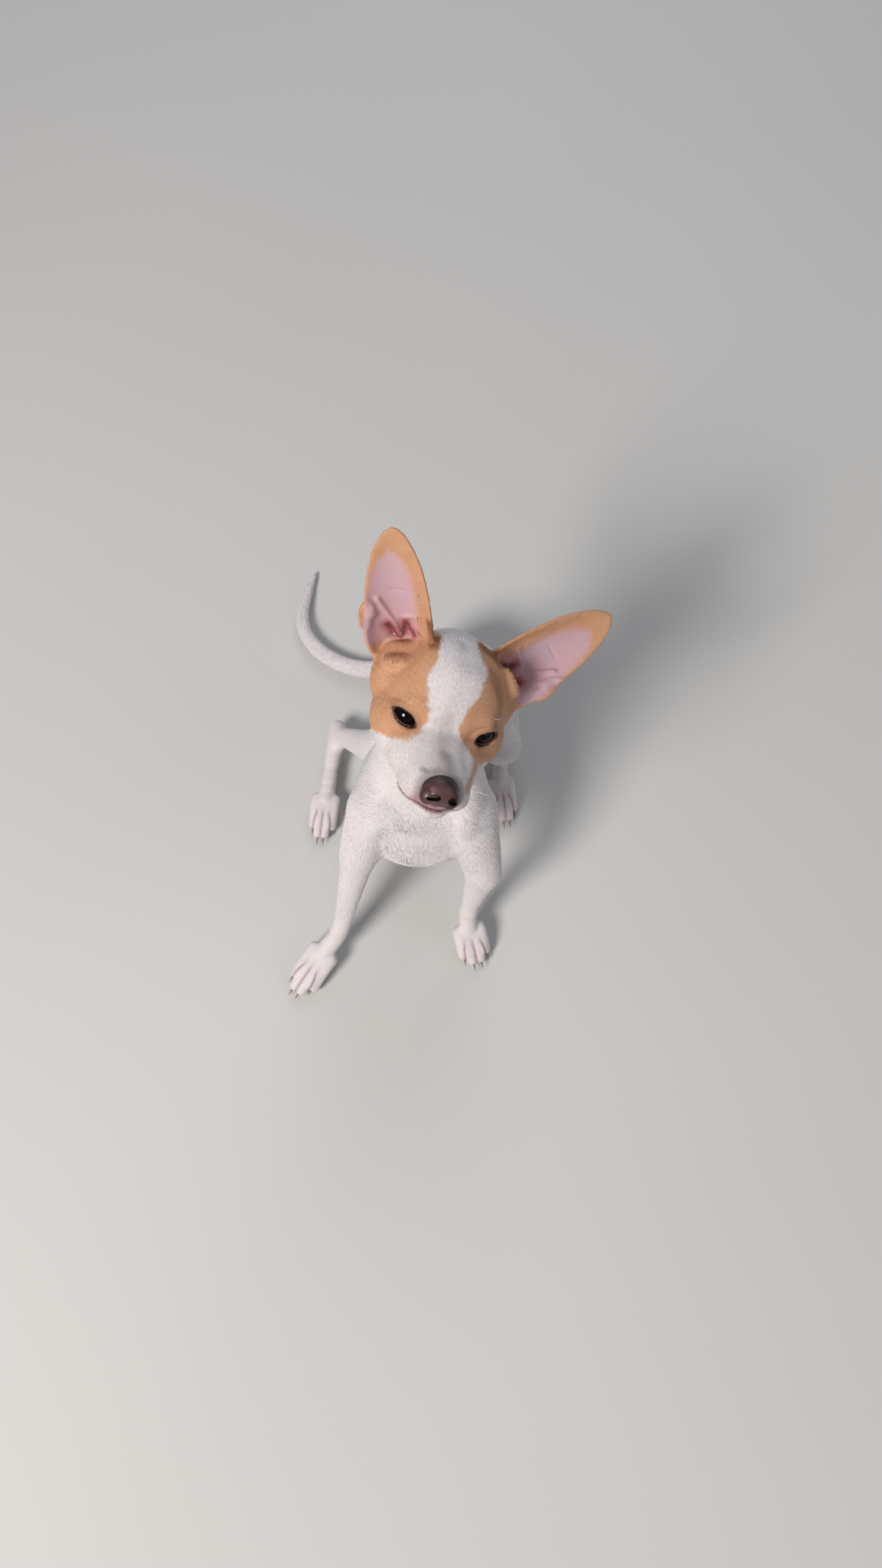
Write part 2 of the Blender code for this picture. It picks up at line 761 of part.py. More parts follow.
def parted(body):
    """The flesh cut into its named parts."""
    pieces = islands(combine(body, cuts(), "DIFFERENCE"))
    parts = {}
    for name, point in markers().items():
        held = next(piece for piece in pieces if holds(piece, point))
        pieces.remove(held)
        parts[name] = mesh_from(held, name)
    for scrap in pieces:
        scrap.free()
    return parts


def finish(part, material):
    """Gives a part its material, made from the colour table under the part's name."""
    colour, roughness = COLOURS[material]
    made = bpy.data.materials.new(material + "_" + part.name)
    made.use_nodes = True
    shader = made.node_tree.nodes["Principled BSDF"]
    shader.inputs["Base Color"].default_value = (*colour, 1)
    shader.inputs["Roughness"].default_value = roughness
    part.data.materials.clear()
    part.data.materials.append(made)


def main():
    for old in list(bpy.data.objects):
        bpy.data.objects.remove(old)
    parts = parted(carved(thinned(flesh())))
    for side in SIDES:
        for name, joints, toe in (("fore_paw_", FORELEG, FORE_TOE), ("hind_paw_", HINDLEG, HIND_TOE)):
            name += side
            clawed = islands(combine(parts[name], claws(joints[side], toe), "UNION"))
            parts[name] = mesh_from(clawed[0])
        eye = in_head(ball(mirrored(EYE["centre"], side), EYE["radius"]))
        eye.name = "eye_" + side
        finish(eye, "eye_gloss")
        finish(parts["ear_" + side], "coat_tan")
    leather = nose()
    leather.name = "nose"
    finish(leather, "nose_leather")
    for name, part in parts.items():
        part.name = name
        if not name.startswith("ear_"):
            finish(part, "coat_white")


main()
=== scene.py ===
"""Looks of a smooth-coated chihuahua puppy that sits and tips its head back to look up.

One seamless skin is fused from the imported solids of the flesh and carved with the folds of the
face, ears and paws. Eyes, lid rims, nose leather, claws and whiskers are pieces of their own, and a
short coat of fine tufts lies over the skin, following its lie from the nose back to the tail.
"""

import math

import bmesh
import bpy
import numpy as np
from bpy.props import FloatProperty, FloatVectorProperty, IntProperty, PointerProperty
from mathutils import Matrix, Vector


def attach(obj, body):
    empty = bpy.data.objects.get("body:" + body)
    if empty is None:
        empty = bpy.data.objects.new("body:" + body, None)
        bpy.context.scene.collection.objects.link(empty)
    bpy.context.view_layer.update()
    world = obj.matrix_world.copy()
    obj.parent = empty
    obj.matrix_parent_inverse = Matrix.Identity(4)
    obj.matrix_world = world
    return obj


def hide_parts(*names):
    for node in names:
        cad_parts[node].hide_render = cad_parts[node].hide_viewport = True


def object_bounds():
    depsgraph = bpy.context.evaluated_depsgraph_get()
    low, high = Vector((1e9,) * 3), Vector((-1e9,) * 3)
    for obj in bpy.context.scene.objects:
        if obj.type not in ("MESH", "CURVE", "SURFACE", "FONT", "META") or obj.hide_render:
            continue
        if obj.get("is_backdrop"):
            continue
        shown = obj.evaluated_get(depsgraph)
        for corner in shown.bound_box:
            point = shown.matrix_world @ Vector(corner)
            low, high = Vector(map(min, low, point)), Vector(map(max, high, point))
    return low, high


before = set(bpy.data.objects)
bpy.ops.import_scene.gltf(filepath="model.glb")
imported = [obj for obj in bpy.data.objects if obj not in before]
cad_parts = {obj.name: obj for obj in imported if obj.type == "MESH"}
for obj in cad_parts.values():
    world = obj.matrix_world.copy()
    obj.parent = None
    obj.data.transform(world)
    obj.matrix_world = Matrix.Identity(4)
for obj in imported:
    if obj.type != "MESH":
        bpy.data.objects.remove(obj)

bl_info = {
    "name": "Sitting chihuahua",
    "version": (1, 0, 0),
    "blender": (4, 5, 0),
    "location": "View3D > Sidebar > Chihuahua",
    "description": "Skin, eyes, nose, claws, whiskers and coat of a sitting chihuahua, and its stage",
    "category": "Object",
}

MM = 0.001
CAD_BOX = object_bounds()
SIDES = {"right": -1, "left": 1}

# Head frame, in millimetres: its origin is midway between the corneas, +X to the dog's left and
# -Y along the muzzle.
HEAD_AT = (-2.8, -108.2, 215)
HEAD_TURN = (-40, 18.5, -8)
EYE_CENTRE = (19, 7.5, -0.5)
EYE_RADIUS = 8.8
GAZE = (0.36, -0.92, 0.08)
LID_SLANT = (0.9, 0.36, 0.27)

# Ears: base and axis in the head frame, and the way the hollow faces.
EAR = {
    "right": {"base": (-30.5, 27, 23), "axis": (-0.36, -0.15, 0.92), "faces": (-0.3, -1, -0.1)},
    "left": {"base": (31, 28, 23), "axis": (0.71, 0.43, 0.555), "faces": (0.2, -0.85, 0.35)},
}
EAR_LENGTH = 70
EAR_WIDTH = 36
EAR_ROOT = 8
# Balls in the ear's frame, out from the middle: they close the hollow's foot and fill the fold of
# skin on the outer margin.
EAR_BALLS = (
    ((-0.5, 1.5, -5.5), (11, 8.5, 7)),
    ((-0.5, -4, -5), (11, 9, 7)),
    ((-0.5, 6, -1.5), (10, 5.5, 4.5)),
    ((18.6, -2.5, 16), (2.6, 4.5, 8)),
)

# Joints of the legs, in the dog's frame, as the solids have them.
FORELEG = {
    "right": ((-44, -116, 112), (-55, -136, 81), (-69, -169, 25), (-81, -181, 13), (-97, -202, 5.6)),
    "left": ((12, -116, 112), (21, -142, 68), (12, -156, 26), (13, -165, 13), (18, -183, 5.6)),
}
HINDLEG = {
    "right": ((-16, 12, 42), (-38, -60, 60), (-77, -28, 12), (-83, -74, 9.5), (-86, -98, 5.2)),
    "left": ((18, 12, 42), (34, -54, 56), (38, -12, 12), (35, -62, 9.5), (39, -86, 5.2)),
}
TAIL = (
    (0, 28, 32), (-14, 33, 18), (-34, 25, 9.5), (-57, 23, 6.3), (-78, 29, 5.8),
    (-96, 42, 5.5), (-106, 60, 5.2), (-104, 82, 4.4), (-98, 103, 2.8),
)
BACK = ((-19, -134, 104), (-15, -95, 120), (-6, -38, 92), (0, 0, 60), (0, 30, 34))
THROAT = ((-5, -74, 190), (-14, -93, 138), (-19, -118, 96), (-19, -112, 66))
TOES = {"fore": {"girth": 4.3, "fan": 15}, "hind": {"girth": 3.9, "fan": 12.5}}
TOE_PLACES = (-1.5, -0.5, 0.5, 1.5)
WEB_PLACES = (-1, 0, 1)
OUTER_TOE_REACH = 0.74

FLESH = ["head", "neck", "torso", "tail_base", "tail_tip"] + [
    part + side for part in ("ear_", "fore_leg_", "hind_leg_") for side in SIDES
]
PAWS = [part + side for part in ("fore_paw_", "hind_paw_") for side in SIDES]


# Colours and shader nodes


def linear(code):
    """An sRGB hex colour as linear red, green, blue and alpha."""
    parts = [int(code[place : place + 2], 16) / 255 for place in (1, 3, 5)]
    return (*(part / 12.92 if part <= 0.04045 else ((part + 0.055) / 1.055) ** 2.4 for part in parts), 1)


def add_node(tree, kind, **settings):
    """Adds a shader node. A setting is one of its properties, or an input by name or as i and its
    number, and takes a value or a socket to link."""
    made = tree.nodes.new("ShaderNode" + kind)
    for key, value in settings.items():
        if hasattr(made, key):
            setattr(made, key, value)
            continue
        number = key[1:]
        socket = made.inputs[int(number) if number.isdigit() else key.replace("_", " ")]
        if isinstance(value, bpy.types.NodeSocket):
            tree.links.new(value, socket)
        else:
            socket.default_value = value
    return made


def blend_colour(tree, share, first, second, mode="MIX"):
    """Mixes two colours, each a hex colour or a socket, by a share."""
    colours = [linear(each) if isinstance(each, str) else each for each in (first, second)]
    mix = add_node(tree, "Mix", data_type="RGBA", blend_type=mode, i0=share, i6=colours[0], i7=colours[1])
    return mix.outputs[2]


def new_material(name, roughness, **values):
    """A material with its shader; values are set on the shader's own sockets."""
    made = bpy.data.materials.new(name)
    made.use_nodes = True
    tree = made.node_tree
    shader = tree.nodes["Principled BSDF"]
    shader.inputs["Roughness"].default_value = roughness
    for key, value in values.items():
        shader.inputs[key.replace("_", " ")].default_value = value
    return made, tree, shader


def grain(tree, size, detail=3.0, stretch=(1, 1, 1)):
    """Noise whose grains are about size millimetres across, in the dog's own frame."""
    place = add_node(tree, "TexCoord").outputs["Object"]
    place = add_node(tree, "Mapping", Vector=place, Scale=stretch).outputs[0]
    return add_node(tree, "TexNoise", Vector=place, Scale=1 / (size * MM), Detail=detail).outputs["Fac"]


def bump(tree, shader, height, depth, strength=1.0):
    """Raises the surface by a height pattern, depth millimetres deep."""
    made = add_node(tree, "Bump", Strength=strength, Distance=depth * MM, Height=height)
    tree.links.new(made.outputs[0], shader.inputs["Normal"])


def attribute(tree, name):
    return add_node(tree, "Attribute", attribute_name=name).outputs["Fac"]


# Frames and distances, on arrays of points in metres


def head_matrix():
    turns = [Matrix.Rotation(math.radians(angle), 4, axis) for angle, axis in zip(HEAD_TURN, "XYZ")]
    return Matrix.Translation(Vector(HEAD_AT) * MM) @ turns[2] @ turns[1] @ turns[0]


def ear_matrix(side):
    """Carries an ear's frame, across it, the way it faces and along it, to the dog's frame."""
    ear = EAR[side]
    along = Vector(ear["axis"]).normalized()
    faces = Vector(ear["faces"])
    faces = (faces - along * faces.dot(along)).normalized()
    frame_ = Matrix((faces.cross(along), faces, along)).transposed().to_4x4()
    return head_matrix() @ Matrix.Translation(Vector(ear["base"]) * MM) @ frame_


def eye_matrix(side):
    """Carries an eye's frame, along its slant, out along its gaze and up, to the dog's frame."""
    sign = SIDES[side]
    gaze = Vector((GAZE[0] * sign, *GAZE[1:])).normalized()
    slant = Vector((LID_SLANT[0] * sign, *LID_SLANT[1:]))
    slant = (slant - gaze * slant.dot(gaze)).normalized()
    up = gaze.cross(slant) * sign
    centre = Vector((EYE_CENTRE[0] * sign, *EYE_CENTRE[1:])) * MM
    return head_matrix() @ Matrix.Translation(centre) @ Matrix((slant, gaze, up)).transposed().to_4x4()


def within(matrix, points):
    """Points of the dog's frame in millimetres of the matrix's own frame."""
    back = np.array(matrix.inverted())
    return (points @ back[:3, :3].T + back[:3, 3]) / MM


def turned(matrix, vectors):
    """Directions of the dog's frame in the matrix's own frame."""
    return vectors @ np.array(matrix.to_3x3().normalized())


def path_distance(points, path):
    """Distance of each point to a bent line, in the same frame and unit."""
    best = np.full(len(points), np.inf)
    for start, end in zip(path, path[1:]):
        start, along = np.array(start, float), np.subtract(end, start).astype(float)
        share = np.clip((points - start) @ along / (along @ along), 0, 1)
        best = np.minimum(best, np.linalg.norm(points - start - share[:, None] * along, axis=1))
    return best


def smooth_step(value, low, high):
    """Rises smoothly from 0 at low to 1 at high; also falls, where low is above high."""
    share = np.clip((value - low) / (high - low), 0, 1)
    return share * share * (3 - 2 * share)


def ear_half_width(share):
    root = 0.72 + 0.28 * np.sin(np.minimum(share / 0.18, 1) * math.pi / 2)
    return EAR_WIDTH / 2 * root * (1 - np.minimum(share, 0.9995) ** 3) ** 0.62


def ear_cup(share):
    """Radius of the cup's cross-section and the depth of its middle, at a share of the length."""
    share = np.clip(share, 0, 1)
    wrap = np.radians(200 - 150 * share ** 0.6)
    bend = ear_half_width(share) / np.sin(np.minimum(wrap / 2, math.pi / 2))
    return bend, bend * np.cos(wrap / 2)


def ear_places(side, points, normals):
    """For points of the dog's frame: share of the ear's length, place across it from -1 to 1, and
    how far the surface faces the inside of the cup."""
    local = within(ear_matrix(side), points)
    share = (local[:, 2] + EAR_ROOT) / (EAR_LENGTH + EAR_ROOT)
    bend, middle = ear_cup(share)
    inward = np.stack((-local[:, 0], middle - local[:, 1]), axis=1)
    inward /= np.linalg.norm(inward, axis=1)[:, None] + 1e-9
    facing = turned(ear_matrix(side), normals)
    half = ear_half_width(np.clip(share, 0, 0.99))
    return share, local[:, 0] / half, (facing[:, :2] * inward).sum(axis=1), local


# Meshes


def piece(name, mesh, material, replaced=(), body="root"):
    """Makes an object of a mesh, which rides on the body and stands for the nodes it replaces."""
    mesh.materials.clear()
    mesh.materials.append(material)
    made = bpy.data.objects.new(name, mesh)
    bpy.context.scene.collection.objects.link(made)
    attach(made, body)
    if replaced:
        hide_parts(*replaced)
    return made


def mesh_of(work, name="form"):
    bmesh.ops.recalc_face_normals(work, faces=work.faces)
    mesh = bpy.data.meshes.new(name)
    work.to_mesh(mesh)
    work.free()
    return mesh


def modified(mesh, *steps):
    """A mesh after modifiers, each a kind and its settings."""
    holder = bpy.data.objects.new("holder", mesh)
    bpy.context.scene.collection.objects.link(holder)
    for kind, settings in steps:
        step = holder.modifiers.new(kind.lower(), kind)
        for key, value in settings.items():
            setattr(step, key, value)
    bpy.context.view_layer.update()
    result = bpy.data.meshes.new_from_object(holder.evaluated_get(bpy.context.evaluated_depsgraph_get()))
    bpy.data.objects.remove(holder)
    bpy.data.meshes.remove(mesh)
    return result


def balls(places, matrix=None, segments=16):
    """A mesh of balls, each a centre and its radii in millimetres of the matrix's frame."""
    work = bmesh.new()
    bmesh.ops.create_uvsphere(work, u_segments=segments, v_segments=segments // 2, radius=1)
    bmesh.ops.triangulate(work, faces=work.faces)
    work.verts.index_update()
    form = np.array([vert.co for vert in work.verts])
    faces = np.array([[vert.index for vert in face.verts] for face in work.faces])
    work.free()
    centres, radii = (np.array(values, float)[:, None] for values in zip(*places))
    points = (form * radii + centres).reshape(-1, 3) * MM
    index = np.arange(len(places))[:, None, None] * len(form)
    mesh = bpy.data.meshes.new("balls")
    mesh.from_pydata(points.tolist(), [], (faces + index).reshape(-1, 3).tolist())
    if matrix:
        mesh.transform(matrix)
    return mesh


def points_of(mesh, what="vertices", field="co", width=3):
    """A field of all the mesh's vertices, loops or triangles as an array."""
    values = getattr(mesh, what)
    kind = int if field in ("vertices", "loops") else float
    found = np.empty(len(values) * width, kind)
    values.foreach_get(field, found)
    return found.reshape(-1, width) if width > 1 else found


def normals_of(mesh):
    found = np.empty(len(mesh.vertices) * 3)
    mesh.vertex_normals.foreach_get("vector", found)
    return found.reshape(-1, 3)


def put_points(mesh, points):
    mesh.vertices.foreach_set("co", points.ravel())
    mesh.update()


def put_attribute(mesh, name, values):
    made = mesh.attributes.new(name, "FLOAT", "POINT")
    made.data.foreach_set("value", np.ascontiguousarray(values, dtype=np.float32))


def relaxed(points, edges, strength, passes):
    """Points drawn towards their neighbours' middle by strength, pass after pass."""
    count = np.bincount(edges.ravel(), minlength=len(points))[:, None]
    for _ in range(passes):
        total = np.stack(
            [
                np.bincount(edges[:, 0], points[edges[:, 1], axis], len(points))
                + np.bincount(edges[:, 1], points[edges[:, 0], axis], len(points))
                for axis in range(3)
            ],
            axis=1,
        )
        points = points + strength[:, None] * (total / count - points)
    return points


def largest_surface(mesh):
    """The mesh without loose scraps and sealed hollows."""
    work = bmesh.new()
    work.from_mesh(mesh)
    left, largest = set(work.verts), set()
    while left:
        group, front = set(), [left.pop()]
        while front:
            vert = front.pop()
            group.add(vert)
            for edge in vert.link_edges:
                other = edge.other_vert(vert)
                if other in left:
                    left.remove(other)
                    front.append(other)
        largest = max(largest, group, key=len)
    scraps = [vert for vert in work.verts if vert not in largest]
    bmesh.ops.delete(work, geom=scraps, context="VERTS")
    work.to_mesh(mesh)
    work.free()
    return mesh


# Skin

MOUTH = {"front": -28.5, "side": -26, "from": -10, "back": 112}
SWELL = 0.25
SKIN_VOXEL = 0.8
TOE_GROOVE = 0.8
TOE_STEPS = 16
WEB_END = 0.72


def toe_places(joints, toe, places=TOE_PLACES):
    """Root, knuckle and tip of each toe, fanned across the paw, in millimetres."""
    paw, toes = Vector(joints[3]), Vector(joints[4])
    ahead = Vector((toes.x - paw.x, toes.y - paw.y, 0))
    across = Vector((-ahead.y, ahead.x, 0)).normalized()
    girth = toe["girth"]
    for place in places:
        reach = OUTER_TOE_REACH if abs(place) > 1 else 1.0
        root = paw + across * place * girth * 1.1
        tip = paw + ahead * reach + across * place * toe["fan"] / 3
        tip.z = toes.z
        yield root, root.lerp(tip, 0.6) + Vector((0, 0, girth * 0.55)), tip


def bowed(start, middle, end, share):
    """A point on the curve from start to end that is drawn towards the middle."""
    return start.lerp(middle, share).lerp(middle.lerp(end, share), share)


def paw_balls(joints, toe):
    """Centres and radii of the overlapping balls of a foot, its pad and its toes."""
    girth = toe["girth"]
    wrist, paw, toes = (Vector(joints[place]) for place in (2, 3, 4))
    for step in range(9):
        share = step / 8
        yield wrist.lerp(paw, share), (girth * (1.38 + 0.16 * share),) * 3
    pad = paw.lerp(toes, 0.3)
    pad.z = girth * 1.1
    yield pad, (girth * 2.2, girth * 2.1, girth * 1.15)
    for places, end in ((TOE_PLACES, 1.0), (WEB_PLACES, WEB_END)):
        for root, knuckle, tip in toe_places(joints, toe, places):
            for step in range(TOE_STEPS + 1):
                share = step / TOE_STEPS * end
                fat = girth * (1 - 0.08 * share)
                yield bowed(root, knuckle + Vector((0, 0, 1.2)), tip, share), (fat, fat, fat)


def fused_flesh():
    """The nodes of the flesh, with new paws, fused into one closed mesh."""
    work = bmesh.new()
    for name in FLESH:
        part = bmesh.new()
        part.from_mesh(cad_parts[name].data)
        bmesh.ops.remove_doubles(part, verts=part.verts, dist=1e-6)
        part.normal_update()
        for vert in part.verts:
            vert.co += vert.normal * SWELL * MM
        grown = mesh_of(part)
        work.from_mesh(grown)
        bpy.data.meshes.remove(grown)
    for side in SIDES:
        for joints, toe in ((FORELEG[side], TOES["fore"]), (HINDLEG[side], TOES["hind"])):
            paw = balls(list(paw_balls(joints, toe)))
            work.from_mesh(paw)
            bpy.data.meshes.remove(paw)
        filled = [((centre[0] * -SIDES[side], *centre[1:]), radii) for centre, radii in EAR_BALLS]
        filling = balls(filled, ear_matrix(side))
        work.from_mesh(filling)
        bpy.data.meshes.remove(filling)
    forms = mesh_of(work, "skin")
    return modified(forms, ("REMESH", {"mode": "VOXEL", "voxel_size": SKIN_VOXEL * MM}))


def mouth_distance(local):
    """How far each point of the head frame lies from the line where the lips meet."""
    ahead = np.stack((local[:, 0], local[:, 1] - MOUTH["from"]), axis=1)
    angle = np.degrees(np.arctan2(np.abs(ahead[:, 0]), -ahead[:, 1]))
    share = np.clip(angle / MOUTH["back"], 0, 1)
    height = MOUTH["front"] + (MOUTH["side"] - MOUTH["front"]) * np.sin(share * math.pi) ** 2
    past = np.maximum(angle - MOUTH["back"], 0) * 0.4
    near = np.linalg.norm(ahead, axis=1) < 45
    return np.where(near, np.hypot(local[:, 2] - height, past), 99)


def eye_places(side, points):
    """For points of the dog's frame: distance from the middle of the eyeball, and how many times
    the lid opening is wide there, 1 on its rim."""
    local = within(eye_matrix(side), points)
    spread = lid_spread(local[:, 0], local[:, 2])
    ahead = local[:, 1] > 0
    return np.linalg.norm(local, axis=1), np.where(ahead, spread, 9), local


LID = {"length": 7.2, "upper": 3.5, "lower": 3.0, "pinch": 1.3}
LID_DRAW = 0.14


def lid_spread(across, up):
    """How many times the almond between the lids a point lies out: 1 on the rims."""
    height = np.where(up > 0, LID["upper"], LID["lower"])
    return (np.abs(across / LID["length"]) ** 2 + np.abs(up / height) ** LID["pinch"]) ** 0.5


def lids_drawn(points):
    """The points with the edges of the lids drawn in along the eyeball, to their rims."""
    for side in SIDES:
        away, spread, local = eye_places(side, points)
        near = smooth_step(away, 13, 11) * smooth_step(spread, 2.1, 1.2) * (spread < 3)
        share = 1 - LID_DRAW * near
        drawn = local * np.stack((share, np.ones(len(points)), share), axis=1)
        drawn *= (away / np.linalg.norm(drawn, axis=1))[:, None]
        matrix = np.array(eye_matrix(side))
        carried = (drawn * MM) @ matrix[:3, :3].T + matrix[:3, 3]
        points = np.where((near > 0)[:, None], carried, points)
    return points


def folds(local, paths):
    """Moves in millimetres by folds that are mirrored across the middle of the head frame."""
    mirrored = np.stack((np.abs(local[:, 0]), local[:, 1], local[:, 2]), axis=1)
    move = np.zeros(len(local))
    for path, radius, depth in paths:
        near = path_distance(mirrored, path) / radius
        move += depth * np.exp(-near * near)
    return move


def carve_head(points):
    """Folds of the face, as moves along the normals, in metres."""
    local = within(head_matrix(), points)
    move = folds(local, FACE_FOLDS)
    lips = mouth_distance(local)
    move -= 0.55 * np.exp(-((lips / 0.7) ** 2))
    move += 0.22 * np.exp(-(((lips - 1.7) / 0.8) ** 2))
    for side in SIDES:
        away, spread, eye = eye_places(side, points)
        close = smooth_step(away, 15, 11)
        up = eye[:, 2] > 0
        crease = np.where(up, np.exp(-(((spread - 1.72) / 0.16) ** 2)), 0)
        pouch = np.where(up, 0, np.exp(-(((spread - 1.75) / 0.2) ** 2)))
        move -= close * (0.55 * crease + 0.3 * pouch)
    return move * MM


# Folds of the face in the head frame, on its left side and mirrored: path, width and how far they
# stand out, or in where less than nothing.
FACE_FOLDS = (
    (((0, -16, -3), (0, -6, 8), (0, 4, 24), (0, 22, 38)), 4.0, -0.9),
    (((12, -4, 0), (10, -12, -5), (11, -20, -11)), 3.0, -0.7),
    (((9.5, -29, -21), (10.5, -23, -22)), 4.5, 0.8),
    (((0, -39, -25), (0, -34, -29)), 0.9, -0.7),
    (((19, -9, -23), (25, 2, -22), (28, 12, -20)), 3.0, -0.5),
    (((21, 6, 14), (15, -1, 10), (9, -5, 6)), 3.5, 0.7),
    (((28, 8, 8), (30, 14, 14)), 3.0, -0.5),
)

# Folds inside the ear: paths across it, out from the middle, and along it in millimetres, with
# their width and how far they stand out.
EAR_FOLDS = (
    (((11, 27), (7.5, 18), (4, 9), (2.5, 0)), 1.1, 1.7),
    (((-9, 14), (-5, 15), (-1, 13)), 1.2, 0.9),
    (((-8.5, 3), (-5.5, 1.5)), 1.6, 1.0),
    (((-5, 7), (-7.5, 4)), 1.5, 1.1),
    (((-2, 8), (-1, 1)), 1.8, -0.8),
    (((7.5, 8), (5.5, 1)), 1.1, -0.8),
    (((-3, 31), (5, 31.5)), 0.7, -0.35),
    (((17.5, 30), (14, 24), (13, 17)), 1.4, 1.1),
    (((17.5, 22), (17, 15)), 2.4, -0.6),
    (((-6, 24), (-8, 52)), 3.0, -0.35),
)
# Paths of the ear canals, out from the middle and along the ear: toward them the skin is flushed and darkened by
# painted shade in their hollows.
CANAL = (((-6, 3), (-2.5, 6.5), (-1.2, 9.5), (0.5, 2)), ((7.8, 8), (5.8, 5), (5.4, 2), (3.5, 0.5)))
EAR_FRINGE = ((-4, -3.5), (6, -2.5))

# Borders of the bare skin inside the ear, out from the middle, at shares of the ear's length.
BARE_SHARES = (0.0, 0.2, 0.45, 0.64, 0.75, 0.82)
BARE_INNER = (-0.55, -0.52, -0.58, -0.5, -0.3, 0.1)
BARE_OUTER = (0.98, 1.1, 0.97, 0.9, 0.7, 0.2)


def ear_shares(side, points, normals):
    """For one ear: how far each point is on its shell, on the inside and on the inside's bare skin,
    with its place out from the middle and along the ear in millimetres."""
    share, across, facing, local = ear_places(side, points, normals)
    sign = -SIDES[side]
    bend, middle = ear_cup(share)
    away = np.abs(np.hypot(local[:, 0], local[:, 1] - middle) - bend)
    shell = smooth_step(away, 4.2, 3.2) * smooth_step(np.abs(across), 1.4, 1.2) * (share > 0) * (share < 1.06)
    plane = np.stack((local[:, 0] * sign, local[:, 2]), axis=1)
    outer = across * sign
    inner_edge = np.interp(share, BARE_SHARES, BARE_INNER, right=9)
    outer_edge = np.interp(share, BARE_SHARES, BARE_OUTER, right=-9)
    bare = smooth_step(outer - inner_edge, -0.2, 0.36) * smooth_step(outer_edge - outer, -0.1, 0.2)
    inside = shell * smooth_step(facing, 0.1, 0.4)
    return shell, inside, inside * bare * smooth_step(plane[:, 1], -3, 1), plane


# Foot of the hollow of an ear in its own frame: its middle, how far it reaches and the way it sinks.
EAR_FOOT_AT = (0, 4, -1)
EAR_FOOT_REACH = (10, 9, 8)
EAR_FOOT_SINK = (0, -1.5, -3.2)


def ears_sunk(points):
    """The points with the foot of each ear's hollow sunk into the head."""
    for side in SIDES:
        matrix = ear_matrix(side)
        near = (within(matrix, points) - EAR_FOOT_AT) / EAR_FOOT_REACH
        share = np.exp(-(near ** 2).sum(axis=1))[:, None]
        points = points + share * np.array(matrix.to_3x3() @ Vector(EAR_FOOT_SINK)) * MM
    return points


def carve_ears(points, normals):
    """Folds inside both ears, as moves along the normals, in metres."""
    move = np.zeros(len(points))
    for side in SIDES:
        shell, inside, bare, plane = ear_shares(side, points, normals)
        for path, radius, depth in EAR_FOLDS:
            near = path_distance(plane, path) / radius
            move += inside * depth * np.exp(-near * near)
    return move * MM


def toe_gaps(points):
    """How deep each point lies in the grooves between the toes, from 0 to 1."""
    best = np.zeros(len(points))
    for legs, toe in ((FORELEG, TOES["fore"]), (HINDLEG, TOES["hind"])):
        for joints in legs.values():
            away = np.sort([path_distance(points / MM, toes) for toes in toe_places(joints, toe)], axis=0)
            gap = np.exp(-(((away[1] - away[0]) / 0.9) ** 2)) * smooth_step(away[0], 9, 6.5)
            paw, toes = np.array(joints[3]), np.array(joints[4])
            ahead = (points / MM - paw) @ (toes - paw) / ((toes - paw) @ (toes - paw))
            best = np.maximum(best, gap * smooth_step(ahead, 0.2, 0.5))
    return best


def face_share(points):
    """1 on the face, falling to 0 on the rest of the body."""
    local = within(head_matrix(), points)
    return smooth_step(np.linalg.norm(local - (0, -6, -8), axis=1), 58, 38)


def foot_share(points):
    """1 on the feet, falling to 0 above the wrists and hocks."""
    best = np.full(len(points), np.inf)
    for legs in (FORELEG, HINDLEG):
        for joints in legs.values():
            best = np.minimum(best, path_distance(points / MM, (joints[3], joints[4])))
    return smooth_step(best, 26, 14)


def skin_mesh():
    """The fused flesh, smoothed, carved and drawn in by the coat's depth."""
    mesh = largest_surface(fused_flesh())
    points = points_of(mesh)
    edges = points_of(mesh, "edges", "vertices", 2)
    fine = np.maximum(face_share(points), foot_share(points))
    for side in SIDES:
        fine = np.maximum(fine, ear_shares(side, points, normals_of(mesh))[0])
    points = ears_sunk(lids_drawn(relaxed(points, edges, 0.5 * (1 - 0.78 * fine), 36)))
    put_points(mesh, points)
    normals = normals_of(mesh)
    coat = 0.55 - 0.35 * fine
    points = points - normals * coat[:, None] * MM
    move = carve_head(points) + carve_ears(points, normals) - TOE_GROOVE * MM * toe_gaps(points)
    points += normals * move[:, None]
    points[:, 2] = np.maximum(points[:, 2], 0)
    put_points(mesh, points)
    return thinned(mesh)


SKIN_TRIANGLES = 185000


def thinned(mesh):
    """The mesh with fewer triangles, thinned alike all over to about SKIN_TRIANGLES."""
    mesh.calc_loop_triangles()
    ratio = SKIN_TRIANGLES / len(mesh.loop_triangles)
    return modified(mesh, ("DECIMATE", {"ratio": ratio}))


# Markings: how far the coat is tan, the skin pink and bare, or dark, at each point

# Half width of the white blaze at heights of the head frame, on each side.
BLAZE = {
    "right": ((-12, 25), (-8, 20.5), (-2, 13.4), (6, 11.8), (15, 13.8), (21, 17.5), (28, 15.5), (36, 12.3)),
    "left": ((-12, 22), (-7.4, 16.6), (-3, 11), (1.3, 6.7), (6, 5), (15, 5.2), (23, 10.1), (31, 13), (37, 7.5)),
}


def wander(points, size):
    """A slow wave between -1 and 1 that keeps borders from running straight."""
    x, y, z = (points / (size * MM)).T
    wave = np.sin(x * 2.1 + 1.3 * np.sin(y * 1.7)) + np.sin(y * 2.3 + 1.1 * np.sin(z * 1.9))
    return (wave + np.sin(z * 2.7 + 1.7 * np.sin(x * 1.3))) / 3


